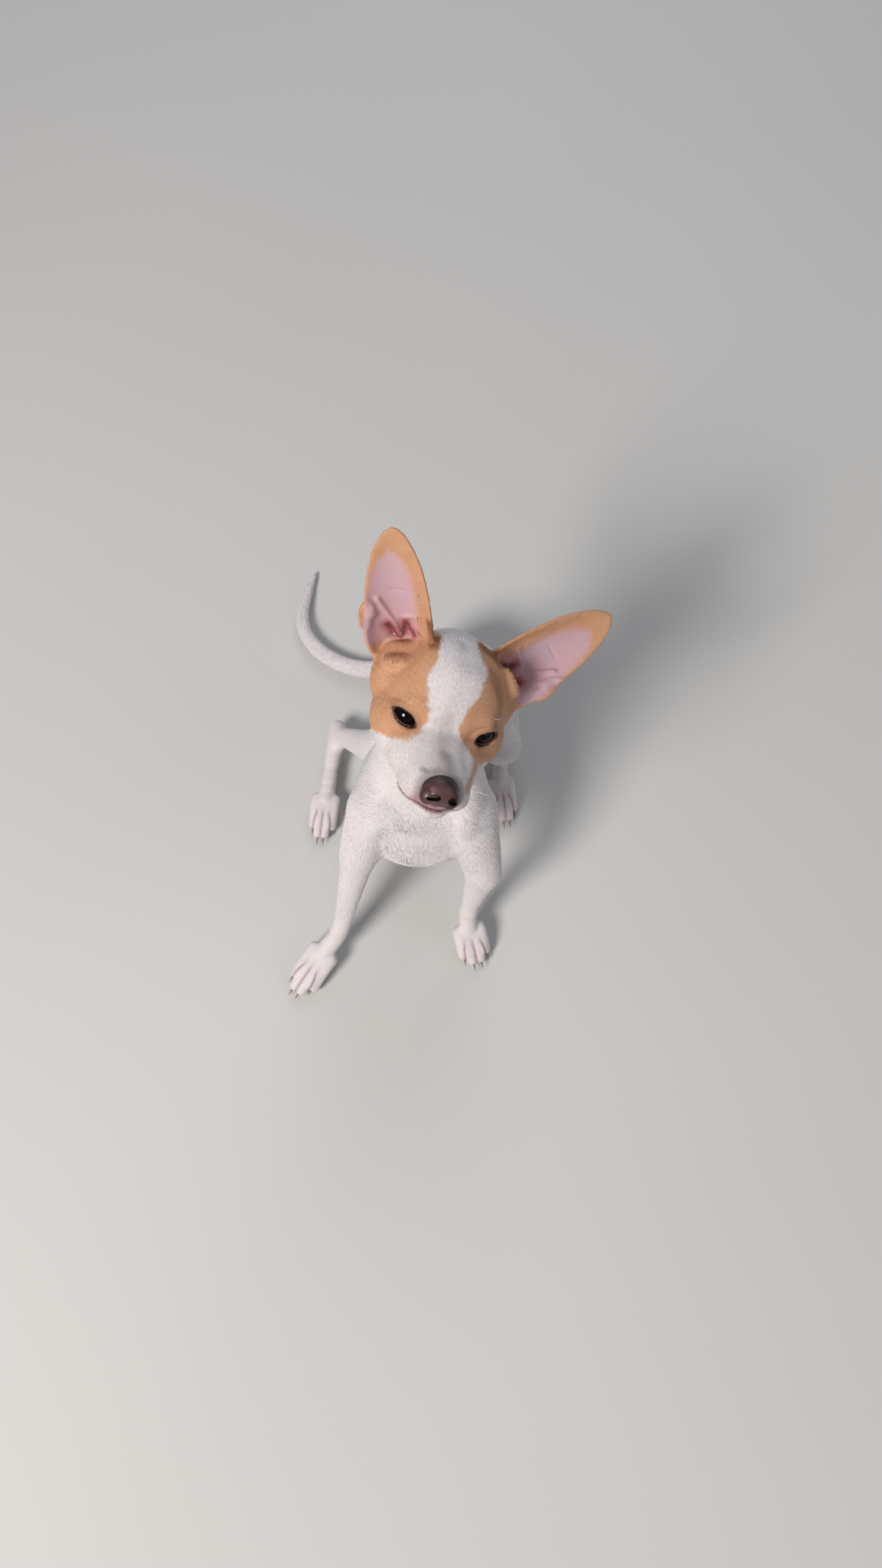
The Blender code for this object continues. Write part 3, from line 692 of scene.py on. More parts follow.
def head_marks(points, local):
    """Shares of tan, brown painted shade, bare pink skin, flushed skin, dark pigment, and grey hairs and painted
    shade on the face.
    """
    rough = wander(points, 5) * 0.9 + wander(points, 1.6) * 0.5
    tan, pink, dark = (np.zeros(len(points)) for _ in range(3))
    for side, sign in SIDES.items():
        heights, halves = zip(*BLAZE[side])
        beyond = local[:, 0] * sign - np.interp(local[:, 2], heights, halves) + rough
        lower = local[:, 2] + 7.5 + 0.62 * (local[:, 0] * sign - 20) + rough
        behind = 36 - local[:, 1] + rough * 2 + 0.3 * local[:, 2]
        patch = np.minimum(np.minimum(beyond, lower + 1.5), behind)
        tan = np.maximum(tan, smooth_step(patch, -0.8, 0.8))
        away, spread, eye = eye_places(side, points)
        near = away < 13
        dark = np.maximum(dark, smooth_step(spread, 1.24, 1.06) * near)
        dark = np.maximum(dark, 0.3 * smooth_step(spread, 1.6, 1.2) * near)
    lips = mouth_distance(local)
    above = smooth_step(local[:, 2], MOUTH["front"] - 2, MOUTH["front"])
    blush = 0.4 * above * smooth_step(path_distance(local, BLUSH), 8, 3)
    pink = np.maximum(0.5 * smooth_step(lips, 1.9, 0.6), blush)
    flush = 0.6 * above * smooth_step(path_distance(local, LIP_FLUSH), 5.5, 1.5)
    dark = np.maximum(dark, 0.85 * smooth_step(lips, 0.95, 0.3))
    speckle = smooth_step(wander(points, 0.7), 0.35, 0.6)
    dark = np.maximum(dark, 0.5 * speckle * smooth_step(lips, 2.2, 1.0))
    nose_edge = np.linalg.norm((local - NOSE_AT) / (11.5, 9.5, 10.5), axis=1)
    grey = 0.6 * smooth_step(nose_edge, 1.3, 1.0)
    # Grey hairs round and above the nose, and painted shade down the forehead's furrow.
    for path, reach, share in GREY_HAIR_AND_SHADE_MARKS:
        grey = np.maximum(grey, share * smooth_step(path_distance(local, path) + rough, reach, 0))
    # Painted shade: brown laid over the tan at the roots of the ears and over the left eye, where the shade
    # falls.
    brown = np.zeros(len(points))
    for path, reach, share in PAINTED_SHADE_MARKS:
        brown = np.maximum(brown, share * smooth_step(path_distance(local, path) + rough, reach, reach * 0.3))
    streak = smooth_step(path_distance(local, TAN_STREAK) + rough, 3.6, 1.4)
    return np.maximum(tan, 0.8 * streak), brown * tan, pink, flush, dark, grey


# Marks of the head in its frame, each a path, how far it reaches and how strong it is: the pink of
# the lips, grey hairs over the nose and painted shade down the forehead's furrow, brown painted shade
# over the tan at the roots of the ears and over the left eye, and the tan streak at the left corner of
# the mouth.
NOSE_AT = (0, -33.5, -17.5)
BLUSH = ((-13.3, -29, -26), (-7.6, -32, -29), (0, -34, -29.5), (10, -30.7, -27.5))
LIP_FLUSH = ((-9.5, -31.5, -25.5), (-4.5, -35, -28), (2, -35, -28.5))
GREY_HAIR_AND_SHADE_MARKS = (
    (((0.5, -19, -5), (2.2, -24, -7.3), (3.5, -29, -9.8)), 6.5, 0.6),
    # Painted shade down the furrow in the middle of the forehead.
    (((0, 8, 30), (0, -4, 10), (0, -13, -1)), 8, 0.2),
    (((-10.3, -26.5, -11.1), (-8.1, -28.9, -11.2)), 2.2, 0.8),
)
# Painted shade in brown over the tan: at the root of each ear, and over the left eye and down the left side of
# the face.
PAINTED_SHADE_MARKS = (
    (((-20.6, 19.4, 42.7), (-15.2, 24, 37), (-14.5, 20, 34)), 6.0, 0.9),
    (((11, 26, 37), (20.4, 27.5, 33)), 7.0, 0.9),
    (((15, 12, 32), (17.2, 7.8, 27.2), (23, 7, 19.7)), 3.4, 0.5),
    (((20, 10, 30), (25, 8, 22), (27, 8, 12), (23, 5, 8)), 7.0, 0.4),
)
TAN_STREAK = ((18.3, -12, -8.3), (17.9, -15.2, -10.7), (16.7, -20.6, -13.6), (14.2, -27, -16.5))


def markings(points, normals):
    """Shares of tan coat, brown painted shade, bare pink skin, flushed folds, dark pigment and painted shade, and
    grey hairs and painted shade.
    """
    local = within(head_matrix(), points)
    on_head = np.linalg.norm(local - (0, 20, 3), axis=1) < 75
    tan, brown, pink, flush, dark, grey = (share * on_head for share in head_marks(points, local))
    for side in SIDES:
        shell, inside, bare, plane = ear_shares(side, points, normals)
        tan, pink = np.maximum(tan, shell), np.maximum(pink, bare)
        fringe = inside * smooth_step(path_distance(plane, EAR_FRINGE), 6.5, 1)
        tan = tan * (1 - 0.5 * fringe)
        canal = np.min([path_distance(plane, path) for path in CANAL], axis=0)
        # Toward each canal the skin flushes and darkens: flushed skin, and painted shade in the canal's hollow,
        # the dark broken up by a crumpled pattern.
        flush = np.maximum(flush, inside * smooth_step(canal, 5.5, 1.5))
        crumple = 0.65 + 0.35 * wander(points, 1.2)
        dark = np.maximum(dark, 0.9 * crumple * inside * smooth_step(canal, 2.2, 0.4))
        pink = pink * (1 - 0.8 * fringe)
    pads = smooth_step(points[:, 2], 1.6 * MM, 0.5 * MM) * foot_share(points)
    gaps = toe_gaps(points)
    pink = np.maximum(pink, np.maximum(pads, 0.6 * gaps ** 0.5))
    # Painted shade deep in the grooves between the toes.
    dark = np.maximum(dark, 0.5 * gaps ** 3)
    return {"tan": tan, "brown": brown, "pink": pink, "flush": flush, "dark": dark, "grey": grey}


# The lie of the coat

HEAD_CORE = ((0, -22, -17), (0, 30, 6))
MUZZLE_TIP = (0, -48, -19)
HEAD_GIRTH = 30


def coat_lie(points, normals):
    """The way the hair lies at each point, along the skin."""
    flow = np.zeros_like(points)
    chains = [(BACK, 34), (THROAT, 30), (TAIL, 11)]
    for side in SIDES:
        chains += [(FORELEG[side], 15), (HINDLEG[side], 17)]
        ear = ear_matrix(side)
        tip = [tuple(ear @ Vector((0, -6 * MM, reach * MM)) / MM) for reach in (-4, EAR_LENGTH)]
        chains.append((tip, 15))
    for chain, reach in chains:
        for start, end in zip(chain, chain[1:]):
            along = np.subtract(end, start).astype(float)
            away = path_distance(points / MM, (start, end))
            weight = (reach / np.maximum(away, 1)) ** 4
            flow += weight[:, None] * along / np.linalg.norm(along)
    local = within(head_matrix(), points)
    from_nose = local - MUZZLE_TIP
    from_nose /= np.linalg.norm(from_nose, axis=1)[:, None]
    frame_ = np.array(head_matrix().to_3x3())
    weight = (34 / np.maximum(path_distance(local, HEAD_CORE), 1)) ** 4 * 1.5
    flow += weight[:, None] * (from_nose @ frame_.T)
    flow -= normals * (flow * normals).sum(axis=1)[:, None]
    return flow / (np.linalg.norm(flow, axis=1)[:, None] + 1e-12)


def hair_places(points):
    """Places round the head and back from the muzzle's tip in millimetres, for streaks of hair."""
    back = within(head_matrix(), points) - MUZZLE_TIP
    return {"hair_round": np.arctan2(back[:, 0], back[:, 2] - 0.32 * back[:, 1]) * HEAD_GIRTH,
            "hair_back": np.linalg.norm(back, axis=1), "face": face_share(points)}


def coat_length(points, normals):
    """Length of the hair in millimetres: shortest on the muzzle, the ears and the feet."""
    local = within(head_matrix(), points)
    from_muzzle = np.linalg.norm(local - (0, -24, -16), axis=1)
    length = 1.2 + 0.6 * smooth_step(from_muzzle, 8, 50) + 1.8 * smooth_step(from_muzzle, 50, 105)
    for legs in (FORELEG, HINDLEG):
        for joints in legs.values():
            away = path_distance(points / MM, joints[1:])
            low = path_distance(points / MM, joints[2:])
            length = np.where(away < 17, np.minimum(length, 2.6), length)
            length -= 1.0 * smooth_step(low, 22, 12)
    for side in SIDES:
        shell, inside, bare, plane = ear_shares(side, points, normals)
        fringe = inside * smooth_step(path_distance(plane, EAR_FRINGE), 5, 2)
        length = length + shell * (1.5 - length) + inside * (1.2 - 0.2 * length) * (plane[:, 1] < 30)
        length = length + 1.6 * fringe + 4.4 * bare * (1 - bare)
    tail = path_distance(points / MM, TAIL[2:])
    length = np.where(tail < 11, 3.4, length)
    return np.maximum(length, 0.9)


def coat_density(marks, points):
    """How thickly the hair grows: none on lips, lids and pads, little inside the ears."""
    bare = np.maximum(marks["pink"] * 1.15, np.maximum(marks["dark"] * 1.2, marks["grey"] * 0.6))
    fine = 1 + 1.3 * face_share(points) + 0.8 * foot_share(points)
    return smooth_step(bare, 0.85, 0.25) * (points[:, 2] > GROUND_CLEAR) * fine


# Pieces


class DogCoat(bpy.types.PropertyGroup):
    tufts: IntProperty(name="Tufts", description="Number of tufts in the coat", default=145000, min=1000)
    width: FloatProperty(
        name="Tuft width", description="Width of a tuft at its root", default=0.00046, unit="LENGTH"
    )
    lift: FloatProperty(
        name="Lift", description="How far a tuft stands off the skin", default=math.radians(12), unit="ROTATION"
    )
    white: FloatVectorProperty(
        name="White", description="Colour of the white coat", default=linear("#f4f3f4")[:3], subtype="COLOR"
    )
    tan: FloatVectorProperty(
        name="Tan", description="Colour of the tan coat", default=linear("#e2b18c")[:3], subtype="COLOR"
    )


class DogFace(bpy.types.PropertyGroup):
    rim: FloatProperty(
        name="Lid rim", description="Thickness of the rims of the lids", default=0.00032, unit="LENGTH"
    )
    whisker: FloatProperty(
        name="Whisker", description="Length of the longest whisker", default=0.016, unit="LENGTH"
    )


class DogStage(bpy.types.PropertyGroup):
    floor: FloatProperty(name="Floor", description="Half width of the floor", default=4.0, unit="LENGTH")
    light: FloatProperty(name="Light", description="Power of the main light", default=35.0, unit="POWER")


def coat_colour(tree, shader_shade):
    """Colour of the coat from its tan share, its brown painted shade and its grey hairs and painted shade, with
    shader_shade darkening it.
    """
    coat = bpy.context.scene.dog_coat
    tone = grain(tree, 9, 4)
    white = blend_colour(tree, tone, (*coat.white, 1), "#e7e4e5")
    tan = blend_colour(tree, tone, (*coat.tan, 1), "#cf9a70")
    colour = blend_colour(tree, attribute(tree, "tan"), white, tan)
    # Brown: painted shade over the tan at the ear roots and by the left eye.
    colour = blend_colour(tree, attribute(tree, "brown"), colour, "#85532f")
    # Grey: grey hairs about the nose, and painted shade down the forehead's furrow.
    colour = blend_colour(tree, attribute(tree, "grey"), colour, "#8d8385")
    return blend_colour(tree, 1.0, colour, shader_shade, "MULTIPLY")


# Streaks of hair to each millimetre across the hair and along it.
STREAK_SCALE = (3.2, 0.42, 1)


def skin_material():
    """Short-haired skin: under-coat the colour of the coat, darkened in streaks by painted shade between the
    hairs and by skin that shows through, bare pink skin in the ears and on the lips, dark pigment round
    the eyes, and painted shade in the ear canals and between the toes."""
    made, tree, shader = new_material("short_haired_skin", 0.62, IOR=1.45)
    place = add_node(tree, "CombineXYZ", X=attribute(tree, "hair_round"), Y=attribute(tree, "hair_back"))
    place = add_node(tree, "Mapping", Vector=place.outputs[0], Scale=STREAK_SCALE)
    streaks = add_node(tree, "TexNoise", Vector=place.outputs[0], Scale=1, Detail=2).outputs["Fac"]
    sharp = add_node(tree, "MapRange", Value=streaks, From_Min=0.3, From_Max=0.7).outputs[0]
    face = attribute(tree, "face")
    fur = add_node(tree, "Mix", data_type="FLOAT", i0=face, i2=grain(tree, 0.7, 2), i3=sharp).outputs[0]
    # Painted shade between the hairs, with the skin that shows through: the under-coat darker in fine streaks
    # than the tufts above it.
    shade = blend_colour(tree, fur, "#c9c2c2", "#f6f3f1")
    colour = coat_colour(tree, shade)
    veins = grain(tree, 14, 5)
    pink = blend_colour(tree, veins, "#c99a98", "#b39fb0")
    colour = blend_colour(tree, attribute(tree, "pink"), colour, pink)
    colour = blend_colour(tree, attribute(tree, "flush"), colour, "#a9656a")
    # Dark: pigment round the eyes and on the lips, and painted shade in the ear canals and deep between the toes.
    colour = blend_colour(tree, attribute(tree, "dark"), colour, "#2c1a19")
    tree.links.new(colour, shader.inputs["Base Color"])
    bump(tree, shader, fur, 0.16, 0.8)
    return made


def coat_material():
    """Guard hair in fine tufts, paler at the tips than at the roots."""
    made, tree, shader = new_material("short_guard_hair", 0.55, IOR=1.45)
    depth = attribute(tree, "reach")
    # Painted shade at the roots of the tufts, where the coat shades itself, rising to white at the tips.
    shade = blend_colour(tree, depth, "#dfd9d9", "#ffffff")
    tint = blend_colour(tree, attribute(tree, "tint"), "#c9c6d2", "#ffffff")
    shade = blend_colour(tree, 1.0, shade, tint, "MULTIPLY")
    tree.links.new(coat_colour(tree, shade), shader.inputs["Base Color"])
    return made


class DOG_OT_skin(bpy.types.Operator):
    """Fuses the flesh into one skin with the folds of the face, ears and paws"""

    bl_idname = "dog.skin"
    bl_label = "Skin"

    def execute(self, context):
        mesh = skin_mesh()
        points, normals = points_of(mesh), normals_of(mesh)
        for name, share in {**markings(points, normals), **hair_places(points)}.items():
            put_attribute(mesh, name, share)
        mesh.shade_smooth()
        skin = piece("skin", mesh, skin_material(), FLESH + PAWS)
        unwrap(skin)
        return {"FINISHED"}


def unwrap(skin):
    """Lays the skin out flat, for the coat to find each tuft's place on it."""
    bpy.context.view_layer.objects.active = skin
    skin.select_set(True)
    bpy.ops.object.mode_set(mode="EDIT")
    bpy.ops.mesh.select_all(action="SELECT")
    bpy.ops.uv.smart_project(angle_limit=math.radians(66), island_margin=0.002)
    bpy.ops.object.mode_set(mode="OBJECT")
    skin.select_set(False)
    skin.data.uv_layers.active.name = "OFBake"


def tuft_form():
    """One tuft's form: three sides that taper to a point. X is across it, Y along it, Z off the skin."""
    work = bmesh.new()
    bmesh.ops.create_cone(work, cap_ends=True, segments=3, radius1=1, radius2=0, depth=1)
    sides = [edge for edge in work.edges if abs(edge.verts[0].co.z - edge.verts[1].co.z) > 0.5]
    bmesh.ops.subdivide_edges(work, edges=sides, cuts=1)
    bmesh.ops.remove_doubles(work, verts=work.verts, dist=1e-4)
    for vert in work.verts:
        reach = vert.co.z + 0.5
        fat = 0.5 * (1.7 if 0.1 < reach < 0.9 else 1.0)
        vert.co = (vert.co.x * fat, reach, vert.co.y * fat * 0.4)
    bmesh.ops.recalc_face_normals(work, faces=work.faces)
    work.verts.index_update()
    points = np.array([vert.co for vert in work.verts])
    faces = [[vert.index for vert in face.verts] for face in work.faces]
    work.free()
    return points, faces


def spread_roots(mesh, density, count, seed):
    """Triangles and places in them for the roots, spread evenly over the skin by its density."""
    mesh.calc_loop_triangles()
    corners = points_of(mesh, "loop_triangles", "vertices", 3)
    loops = points_of(mesh, "loop_triangles", "loops", 3)
    points = points_of(mesh)
    one, two, three = (points[corners[:, place]] for place in range(3))
    area = np.linalg.norm(np.cross(two - one, three - one), axis=1) * density[corners].mean(axis=1)
    draw = np.random.default_rng(seed)
    total = np.cumsum(area)
    picks = (np.arange(count) + draw.random(count)) / count * total[-1]
    chosen = np.minimum(np.searchsorted(total, picks), len(corners) - 1)
    first, second = draw.random(count), draw.random(count)
    over = first + second > 1
    first, second = np.where(over, 1 - first, first), np.where(over, 1 - second, second)
    shares = np.stack((1 - first - second, first, second), axis=1)
    return corners[chosen], loops[chosen], shares


def tuft_piece(name, form, roots, axes, sizes, marks, places, material):
    """One mesh of many tufts, with their markings and their places on the skin's own layout."""
    shape, faces = form
    count, each = len(roots), len(shape)
    across, along, off = axes
    length, width, lift = sizes
    reach = shape[:, 1]
    rise = np.sin(lift)[:, None] * reach * (1 - 0.5 * reach)
    points = (
        roots[:, None]
        + across[:, None] * (shape[:, 0] * width[:, None])[..., None]
        + along[:, None] * (reach * length[:, None])[..., None]
        + off[:, None] * (shape[:, 2] * width[:, None] + rise * length[:, None] - 0.15 * MM)[..., None]
    ).reshape(-1, 3)
    points[:, 2] = np.maximum(points[:, 2], 0.02 * MM)
    index = (np.arange(count) * each)[:, None]
    mesh = bpy.data.meshes.new(name)
    sorted_faces = [index + np.array(face) for face in faces]
    mesh.from_pydata(points.tolist(), [], [row for block in sorted_faces for row in block.tolist()])
    put_attribute(mesh, "reach", np.tile(reach, count))
    for key, share in marks.items():
        put_attribute(mesh, key, np.repeat(share, each))
    layer = mesh.uv_layers.new(name="OFBake")
    corner = points_of(mesh, "loops", "vertex_index", 1).astype(int)
    local = shape[corner % each]
    patch = np.stack((local[:, 0] * 0.5, local[:, 1] - 0.5), axis=1) * UV_PATCH
    layer.data.foreach_set("uv", (places[corner // each] + patch).ravel())
    return piece(name, mesh, material)


UV_PATCH = 0.003
COAT_PIECES = 8
COAT_SEED = 11
GROUND_CLEAR = 0.9 * MM


class DOG_OT_coat(bpy.types.Operator):
    """Covers the skin with a short coat of fine tufts that lie from the nose back to the tail"""

    bl_idname = "dog.coat"
    bl_label = "Coat"

    def execute(self, context):
        coat = context.scene.dog_coat
        mesh = bpy.data.objects["skin"].data
        skin, normals = points_of(mesh), normals_of(mesh)
        marks = markings(skin, normals)
        count = coat.tufts // 1
        corners, loops, shares = spread_roots(mesh, coat_density(marks, skin), count, COAT_SEED)
        roots = (skin[corners] * shares[..., None]).sum(axis=1)
        off = (normals[corners] * shares[..., None]).sum(axis=1)
        off /= np.linalg.norm(off, axis=1)[:, None]
        layout = points_of(mesh.uv_layers["OFBake"], "data", "uv", 2)
        places = (layout[loops] * shares[..., None]).sum(axis=1)
        draw = np.random.default_rng(COAT_SEED + 1)
        along = coat_lie(roots, off)
        across = np.cross(along, off)
        turn = draw.normal(0, 0.16, count)[:, None]
        along, across = along * np.cos(turn) + across * np.sin(turn), across * np.cos(turn) - along * np.sin(turn)
        length = coat_length(roots, off) * draw.uniform(0.7, 1.2, count) * MM
        width = coat.width * draw.uniform(0.75, 1.25, count) * np.clip(length / MM / 2.4, 0.55, 1.15)
        short = np.maximum(face_share(roots), foot_share(roots))
        pink = (marks["pink"][corners] * shares).sum(axis=1)
        lift = coat.lift * draw.uniform(0.4, 1.6, count) * (1 - 0.45 * short) * (1 - 0.8 * pink)
        marks = {key: (share[corners] * shares).sum(axis=1) for key, share in marks.items()}
        marks = {key: marks[key] for key in ("tan", "brown", "grey")}
        marks["tint"] = 1 - draw.random(count) * (0.4 + 0.6 * short)
        form, material = tuft_form(), coat_material()
        for number, group in enumerate(np.array_split(np.arange(count), COAT_PIECES), 1):
            tuft_piece(
                f"coat_{number}",
                form,
                roots[group],
                (across[group], along[group], off[group]),
                (length[group], width[group], lift[group]),
                {key: share[group] for key, share in marks.items()},
                places[group],
                material,
            )
        return {"FINISHED"}


def eye_material():
    """Wet cornea over a dark brown iris and a wide pupil, with a thin edge of white."""
    made, tree, shader = new_material("wet_dark_eye", 0.04, IOR=1.34)
    away = attribute(tree, "from_axis")
    ring = add_node(tree, "ValToRGB", Fac=away)
    stops = (
        (0.0, "#020203"), (0.38, "#030304"), (0.42, "#140c0a"), (0.64, "#20130f"),
        (0.73, "#060405"), (0.79, "#a79b9b"),
    )
    ring.color_ramp.elements.remove(ring.color_ramp.elements[1])
    for place, (at, code) in enumerate(stops):
        stop = ring.color_ramp.elements[0] if place == 0 else ring.color_ramp.elements.new(at)
        stop.position, stop.color = at, linear(code)
    streaks = blend_colour(tree, grain(tree, 0.5, 4), "#9a8a84", "#ffffff")
    colour = blend_colour(tree, 1.0, ring.outputs["Color"], streaks, "MULTIPLY")
    tree.links.new(colour, shader.inputs["Base Color"])
    return made


def lid_rim_material():
    """Thin skin of the lid rims: dark above, paler and pinker along the lower lid."""
    made, tree, shader = new_material("moist_lid_skin", 0.5, IOR=1.4)
    tone = grain(tree, 0.8, 3)
    upper = blend_colour(tree, tone, "#1a0f0e", "#3a2424")
    lower = blend_colour(tree, tone, "#4f3432", "#75514c")
    tree.links.new(blend_colour(tree, attribute(tree, "lower"), upper, lower), shader.inputs["Base Color"])
    bump(tree, shader, tone, 0.08, 0.5)
    return made


def rim_points(side, steps):
    """Points round the rims of the lids of one eye, on the eyeball, in the dog's frame."""
    matrix = eye_matrix(side)
    rise = EYE_RADIUS + RIM_RISE
    for step in range(steps):
        turn = 2 * math.pi * step / steps
        across = LID["length"] * math.cos(turn)
        height = LID["upper"] if math.sin(turn) > 0 else LID["lower"]
        share = max(1 - (across / LID["length"]) ** 2, 0) ** (1 / LID["pinch"])
        up = math.copysign(height * share, math.sin(turn))
        out = math.sqrt(max(rise ** 2 - across ** 2 - up ** 2, 0))
        yield matrix @ (Vector((across, out, up)) * MM)


# Middle of the iris in the eye's frame, out along the slant and up, and the lid rims.
IRIS_AT = (0.5, 0.3)
RIM_RISE = 0.3
RIM_STEPS = 48
RIM_SIDES = 10


def ring_tube(points, radius, centre, sides):
    """A closed tube round a ring of points about the centre."""
    work = bmesh.new()
    loops = []
    count = len(points)
    for place, point in enumerate(points):
        ahead = (points[(place + 1) % count] - points[place - 1]).normalized()
        out = (point - centre).normalized()
        side = ahead.cross(out).normalized()
        circle = bmesh.ops.create_circle(work, segments=sides, radius=radius)["verts"]
        frame_ = Matrix((side, ahead, out)).transposed().to_4x4()
        upright = Matrix.Rotation(math.radians(90), 4, "X")
        bmesh.ops.transform(work, matrix=Matrix.Translation(point) @ frame_ @ upright, verts=circle)
        loops.append({edge for vert in circle for edge in vert.link_edges})
    for one, other in zip(loops, loops[1:] + loops[:1]):
        bmesh.ops.bridge_loops(work, edges=list(one | other))
    return work


class DOG_OT_eyes(bpy.types.Operator):
    """Makes both eyes with their corneas, and the dark rims of the lids"""

    bl_idname = "dog.eyes"
    bl_label = "Eyes and lid rims"

    def execute(self, context):
        material, rims = eye_material(), lid_rim_material()
        for side in SIDES:
            matrix = eye_matrix(side)
            work = bmesh.new()
            bmesh.ops.create_uvsphere(work, u_segments=64, v_segments=40, radius=1)
            for vert in work.verts:
                from_axis = math.hypot(vert.co.x, vert.co.y)
                bulge = 0.35 * (1 - min(from_axis / 0.7, 1) ** 2) if vert.co.z > 0 else 0
                along = Vector((vert.co.x, vert.co.z, vert.co.y)) * (EYE_RADIUS - 0.3 + bulge)
                vert.co = matrix @ (along * MM)
            mesh = mesh_of(work, "eye_" + side + "_ball")
            local = within(matrix, points_of(mesh))
            from_axis = np.hypot(local[:, 0] - IRIS_AT[0], local[:, 2] - IRIS_AT[1]) / EYE_RADIUS
            put_attribute(mesh, "from_axis", np.where(local[:, 1] > 0, from_axis, 1))
            mesh.shade_smooth()
            piece("eyeball_" + side, mesh, material, ["eye_" + side])
            ring = list(rim_points(side, RIM_STEPS))
            centre = matrix.translation
            rim = mesh_of(ring_tube(ring, context.scene.dog_face.rim, centre, RIM_SIDES), "rim")
            put_attribute(rim, "lower", smooth_step(within(matrix, points_of(rim))[:, 2], -0.6, -2.0))
            rim.shade_smooth()
            piece("lid_rims_" + side, rim, rims)
        return {"FINISHED"}


NOSE_BALLS = (
    (NOSE_AT, (9.1, 6.9, 7.9)),
    ((5.8, -35.5, -19.5), (4.2, 4.5, 5.1)),
    ((-5.8, -35.5, -19.5), (4.2, 4.5, 5.1)),
)
NOSTRIL_BALLS = (
    ((4.0, -40.5, -17.9), (1.8, 3.8, 1.8)),
    ((6.2, -39.0, -19.2), (2.6, 3.0, 0.8)),
)
# The nose points a little to the dog's left, which carries its nostrils that way.
NOSE_TURN = 1.8
NOSE_FOLDS = (
    (((0, -42, -16), (0, -41, -21), (0, -36, -26)), 0.9, -0.9),
    (((7.7, -38, -17), (9.2, -35, -20), (7.2, -35, -24)), 1.3, -0.3),
    (((2.7, -41, -16), (5.2, -40.5, -15.4), (7.6, -38.5, -16.6)), 1.1, 0.35),
)


def nose_material():
    """Damp nose leather with pebbled skin, pinker where the pigment is thin, with painted shade darkening its
    back and rim and the hollows of its nostrils.
    """
    made, tree, shader = new_material("nose_leather", 0.42, IOR=1.42, Coat_Weight=0.12, Coat_Roughness=0.25)
    place = add_node(tree, "TexCoord").outputs["Object"]
    pebbles = add_node(tree, "TexVoronoi", Vector=place, Scale=1 / (0.8 * MM), feature="SMOOTH_F1")
    tone = blend_colour(tree, grain(tree, 6, 3), "#3f2629", "#644345")
    # Painted shade: darker toward the back of the nose and round its rim, as the light falls.
    shade = blend_colour(tree, attribute(tree, "edge"), tone, "#1f1011")
    # Painted shade in the hollows of the nostrils.
    colour = blend_colour(tree, attribute(tree, "nostril"), shade, "#160b0c")
    tree.links.new(colour, shader.inputs["Base Color"])
    bump(tree, shader, pebbles.outputs["Distance"], 0.18, 0.8)
    return made


class DOG_OT_nose(bpy.types.Operator):
    """Makes the nose leather with its nostrils and the groove below them"""

    bl_idname = "dog.nose"
    bl_label = "Nose"

    def execute(self, context):
        matrix = head_matrix()
        pits = [
            ((centre[0] * sign + NOSE_TURN, *centre[1:]), radii)
            for centre, radii in NOSTRIL_BALLS
            for sign in SIDES.values()
        ]
        fine = {"mode": "VOXEL", "voxel_size": 0.35 * MM}
        cutter = bpy.data.objects.new("nostrils", modified(balls(pits, matrix, 24), ("REMESH", fine)))
        bpy.context.scene.collection.objects.link(cutter)
        cut = {"operation": "DIFFERENCE", "solver": "MANIFOLD", "object": cutter}
        soften = ("SMOOTH", {"factor": 0.5, "iterations": 4})
        form = balls(NOSE_BALLS, matrix, 32)
        mesh = modified(form, ("REMESH", fine), soften, ("BOOLEAN", cut), ("REMESH", fine), soften)
        bpy.data.objects.remove(cutter)
        points, normals = points_of(mesh), normals_of(mesh)
        local = within(matrix, points)
        put_points(mesh, points + normals * (folds(local - (NOSE_TURN, 0, 0), NOSE_FOLDS) * MM)[:, None])
        inside = np.full(len(points), 9.0)
        for centre, radii in pits:
            apart = (local - centre) / np.add(radii, 0.15)
            inside = np.minimum(inside, np.linalg.norm(apart, axis=1))
        # The nostril share: near black inside the pits, painted shade in their hollows.
        put_attribute(mesh, "nostril", smooth_step(inside, 1.25, 1.0))
        # The edge share is painted shade: darker toward the back of the nose and round its rim, whose middle sits
        # toward the dog's right so that side stays lighter.
        border = np.hypot((local[:, 0] + 1.5) / 9.6, (local[:, 2] + 17) / 8.3)
        edge = np.maximum(smooth_step(local[:, 1], -35.5, -32), smooth_step(border, 0.6, 1.0))
        put_attribute(mesh, "edge", 0.85 * edge)
        mesh.shade_smooth()
        piece("nose_pad", mesh, nose_material(), ["nose"])
        return {"FINISHED"}


CLAW = {"length": 7.4, "girth": 1.3, "drop": 3.4, "lift": 0.9}


def claw_material():
    """Pale horn, pinkish near the toe where the quick shows through."""
    made, tree, shader = new_material("pale_horn", 0.32, IOR=1.54)
    streaks = grain(tree, 0.6, 3, (1, 1, 0.3))
    tip = blend_colour(tree, streaks, "#54423d", "#8a7468")
    tree.links.new(blend_colour(tree, attribute(tree, "quick"), tip, "#b07f7b"), shader.inputs["Base Color"])
    bump(tree, shader, streaks, 0.06, 0.5)
    return made


class DOG_OT_claws(bpy.types.Operator):
    """Makes a curved claw on each toe"""

    bl_idname = "dog.claws"
    bl_label = "Claws"

    def execute(self, context):
        work = bmesh.new()
        quick = []
        for legs, kind in ((FORELEG, "fore"), (HINDLEG, "hind")):
            for side in SIDES:
                for root, knuckle, tip in toe_places(legs[side], TOES[kind]):
                    quick += add_claw(work, root, tip, TOES[kind]["girth"])
        mesh = mesh_of(work, "claws")
        put_attribute(mesh, "quick", np.array(quick))
        mesh.shade_smooth()
        piece("claws", mesh, claw_material())
        return {"FINISHED"}


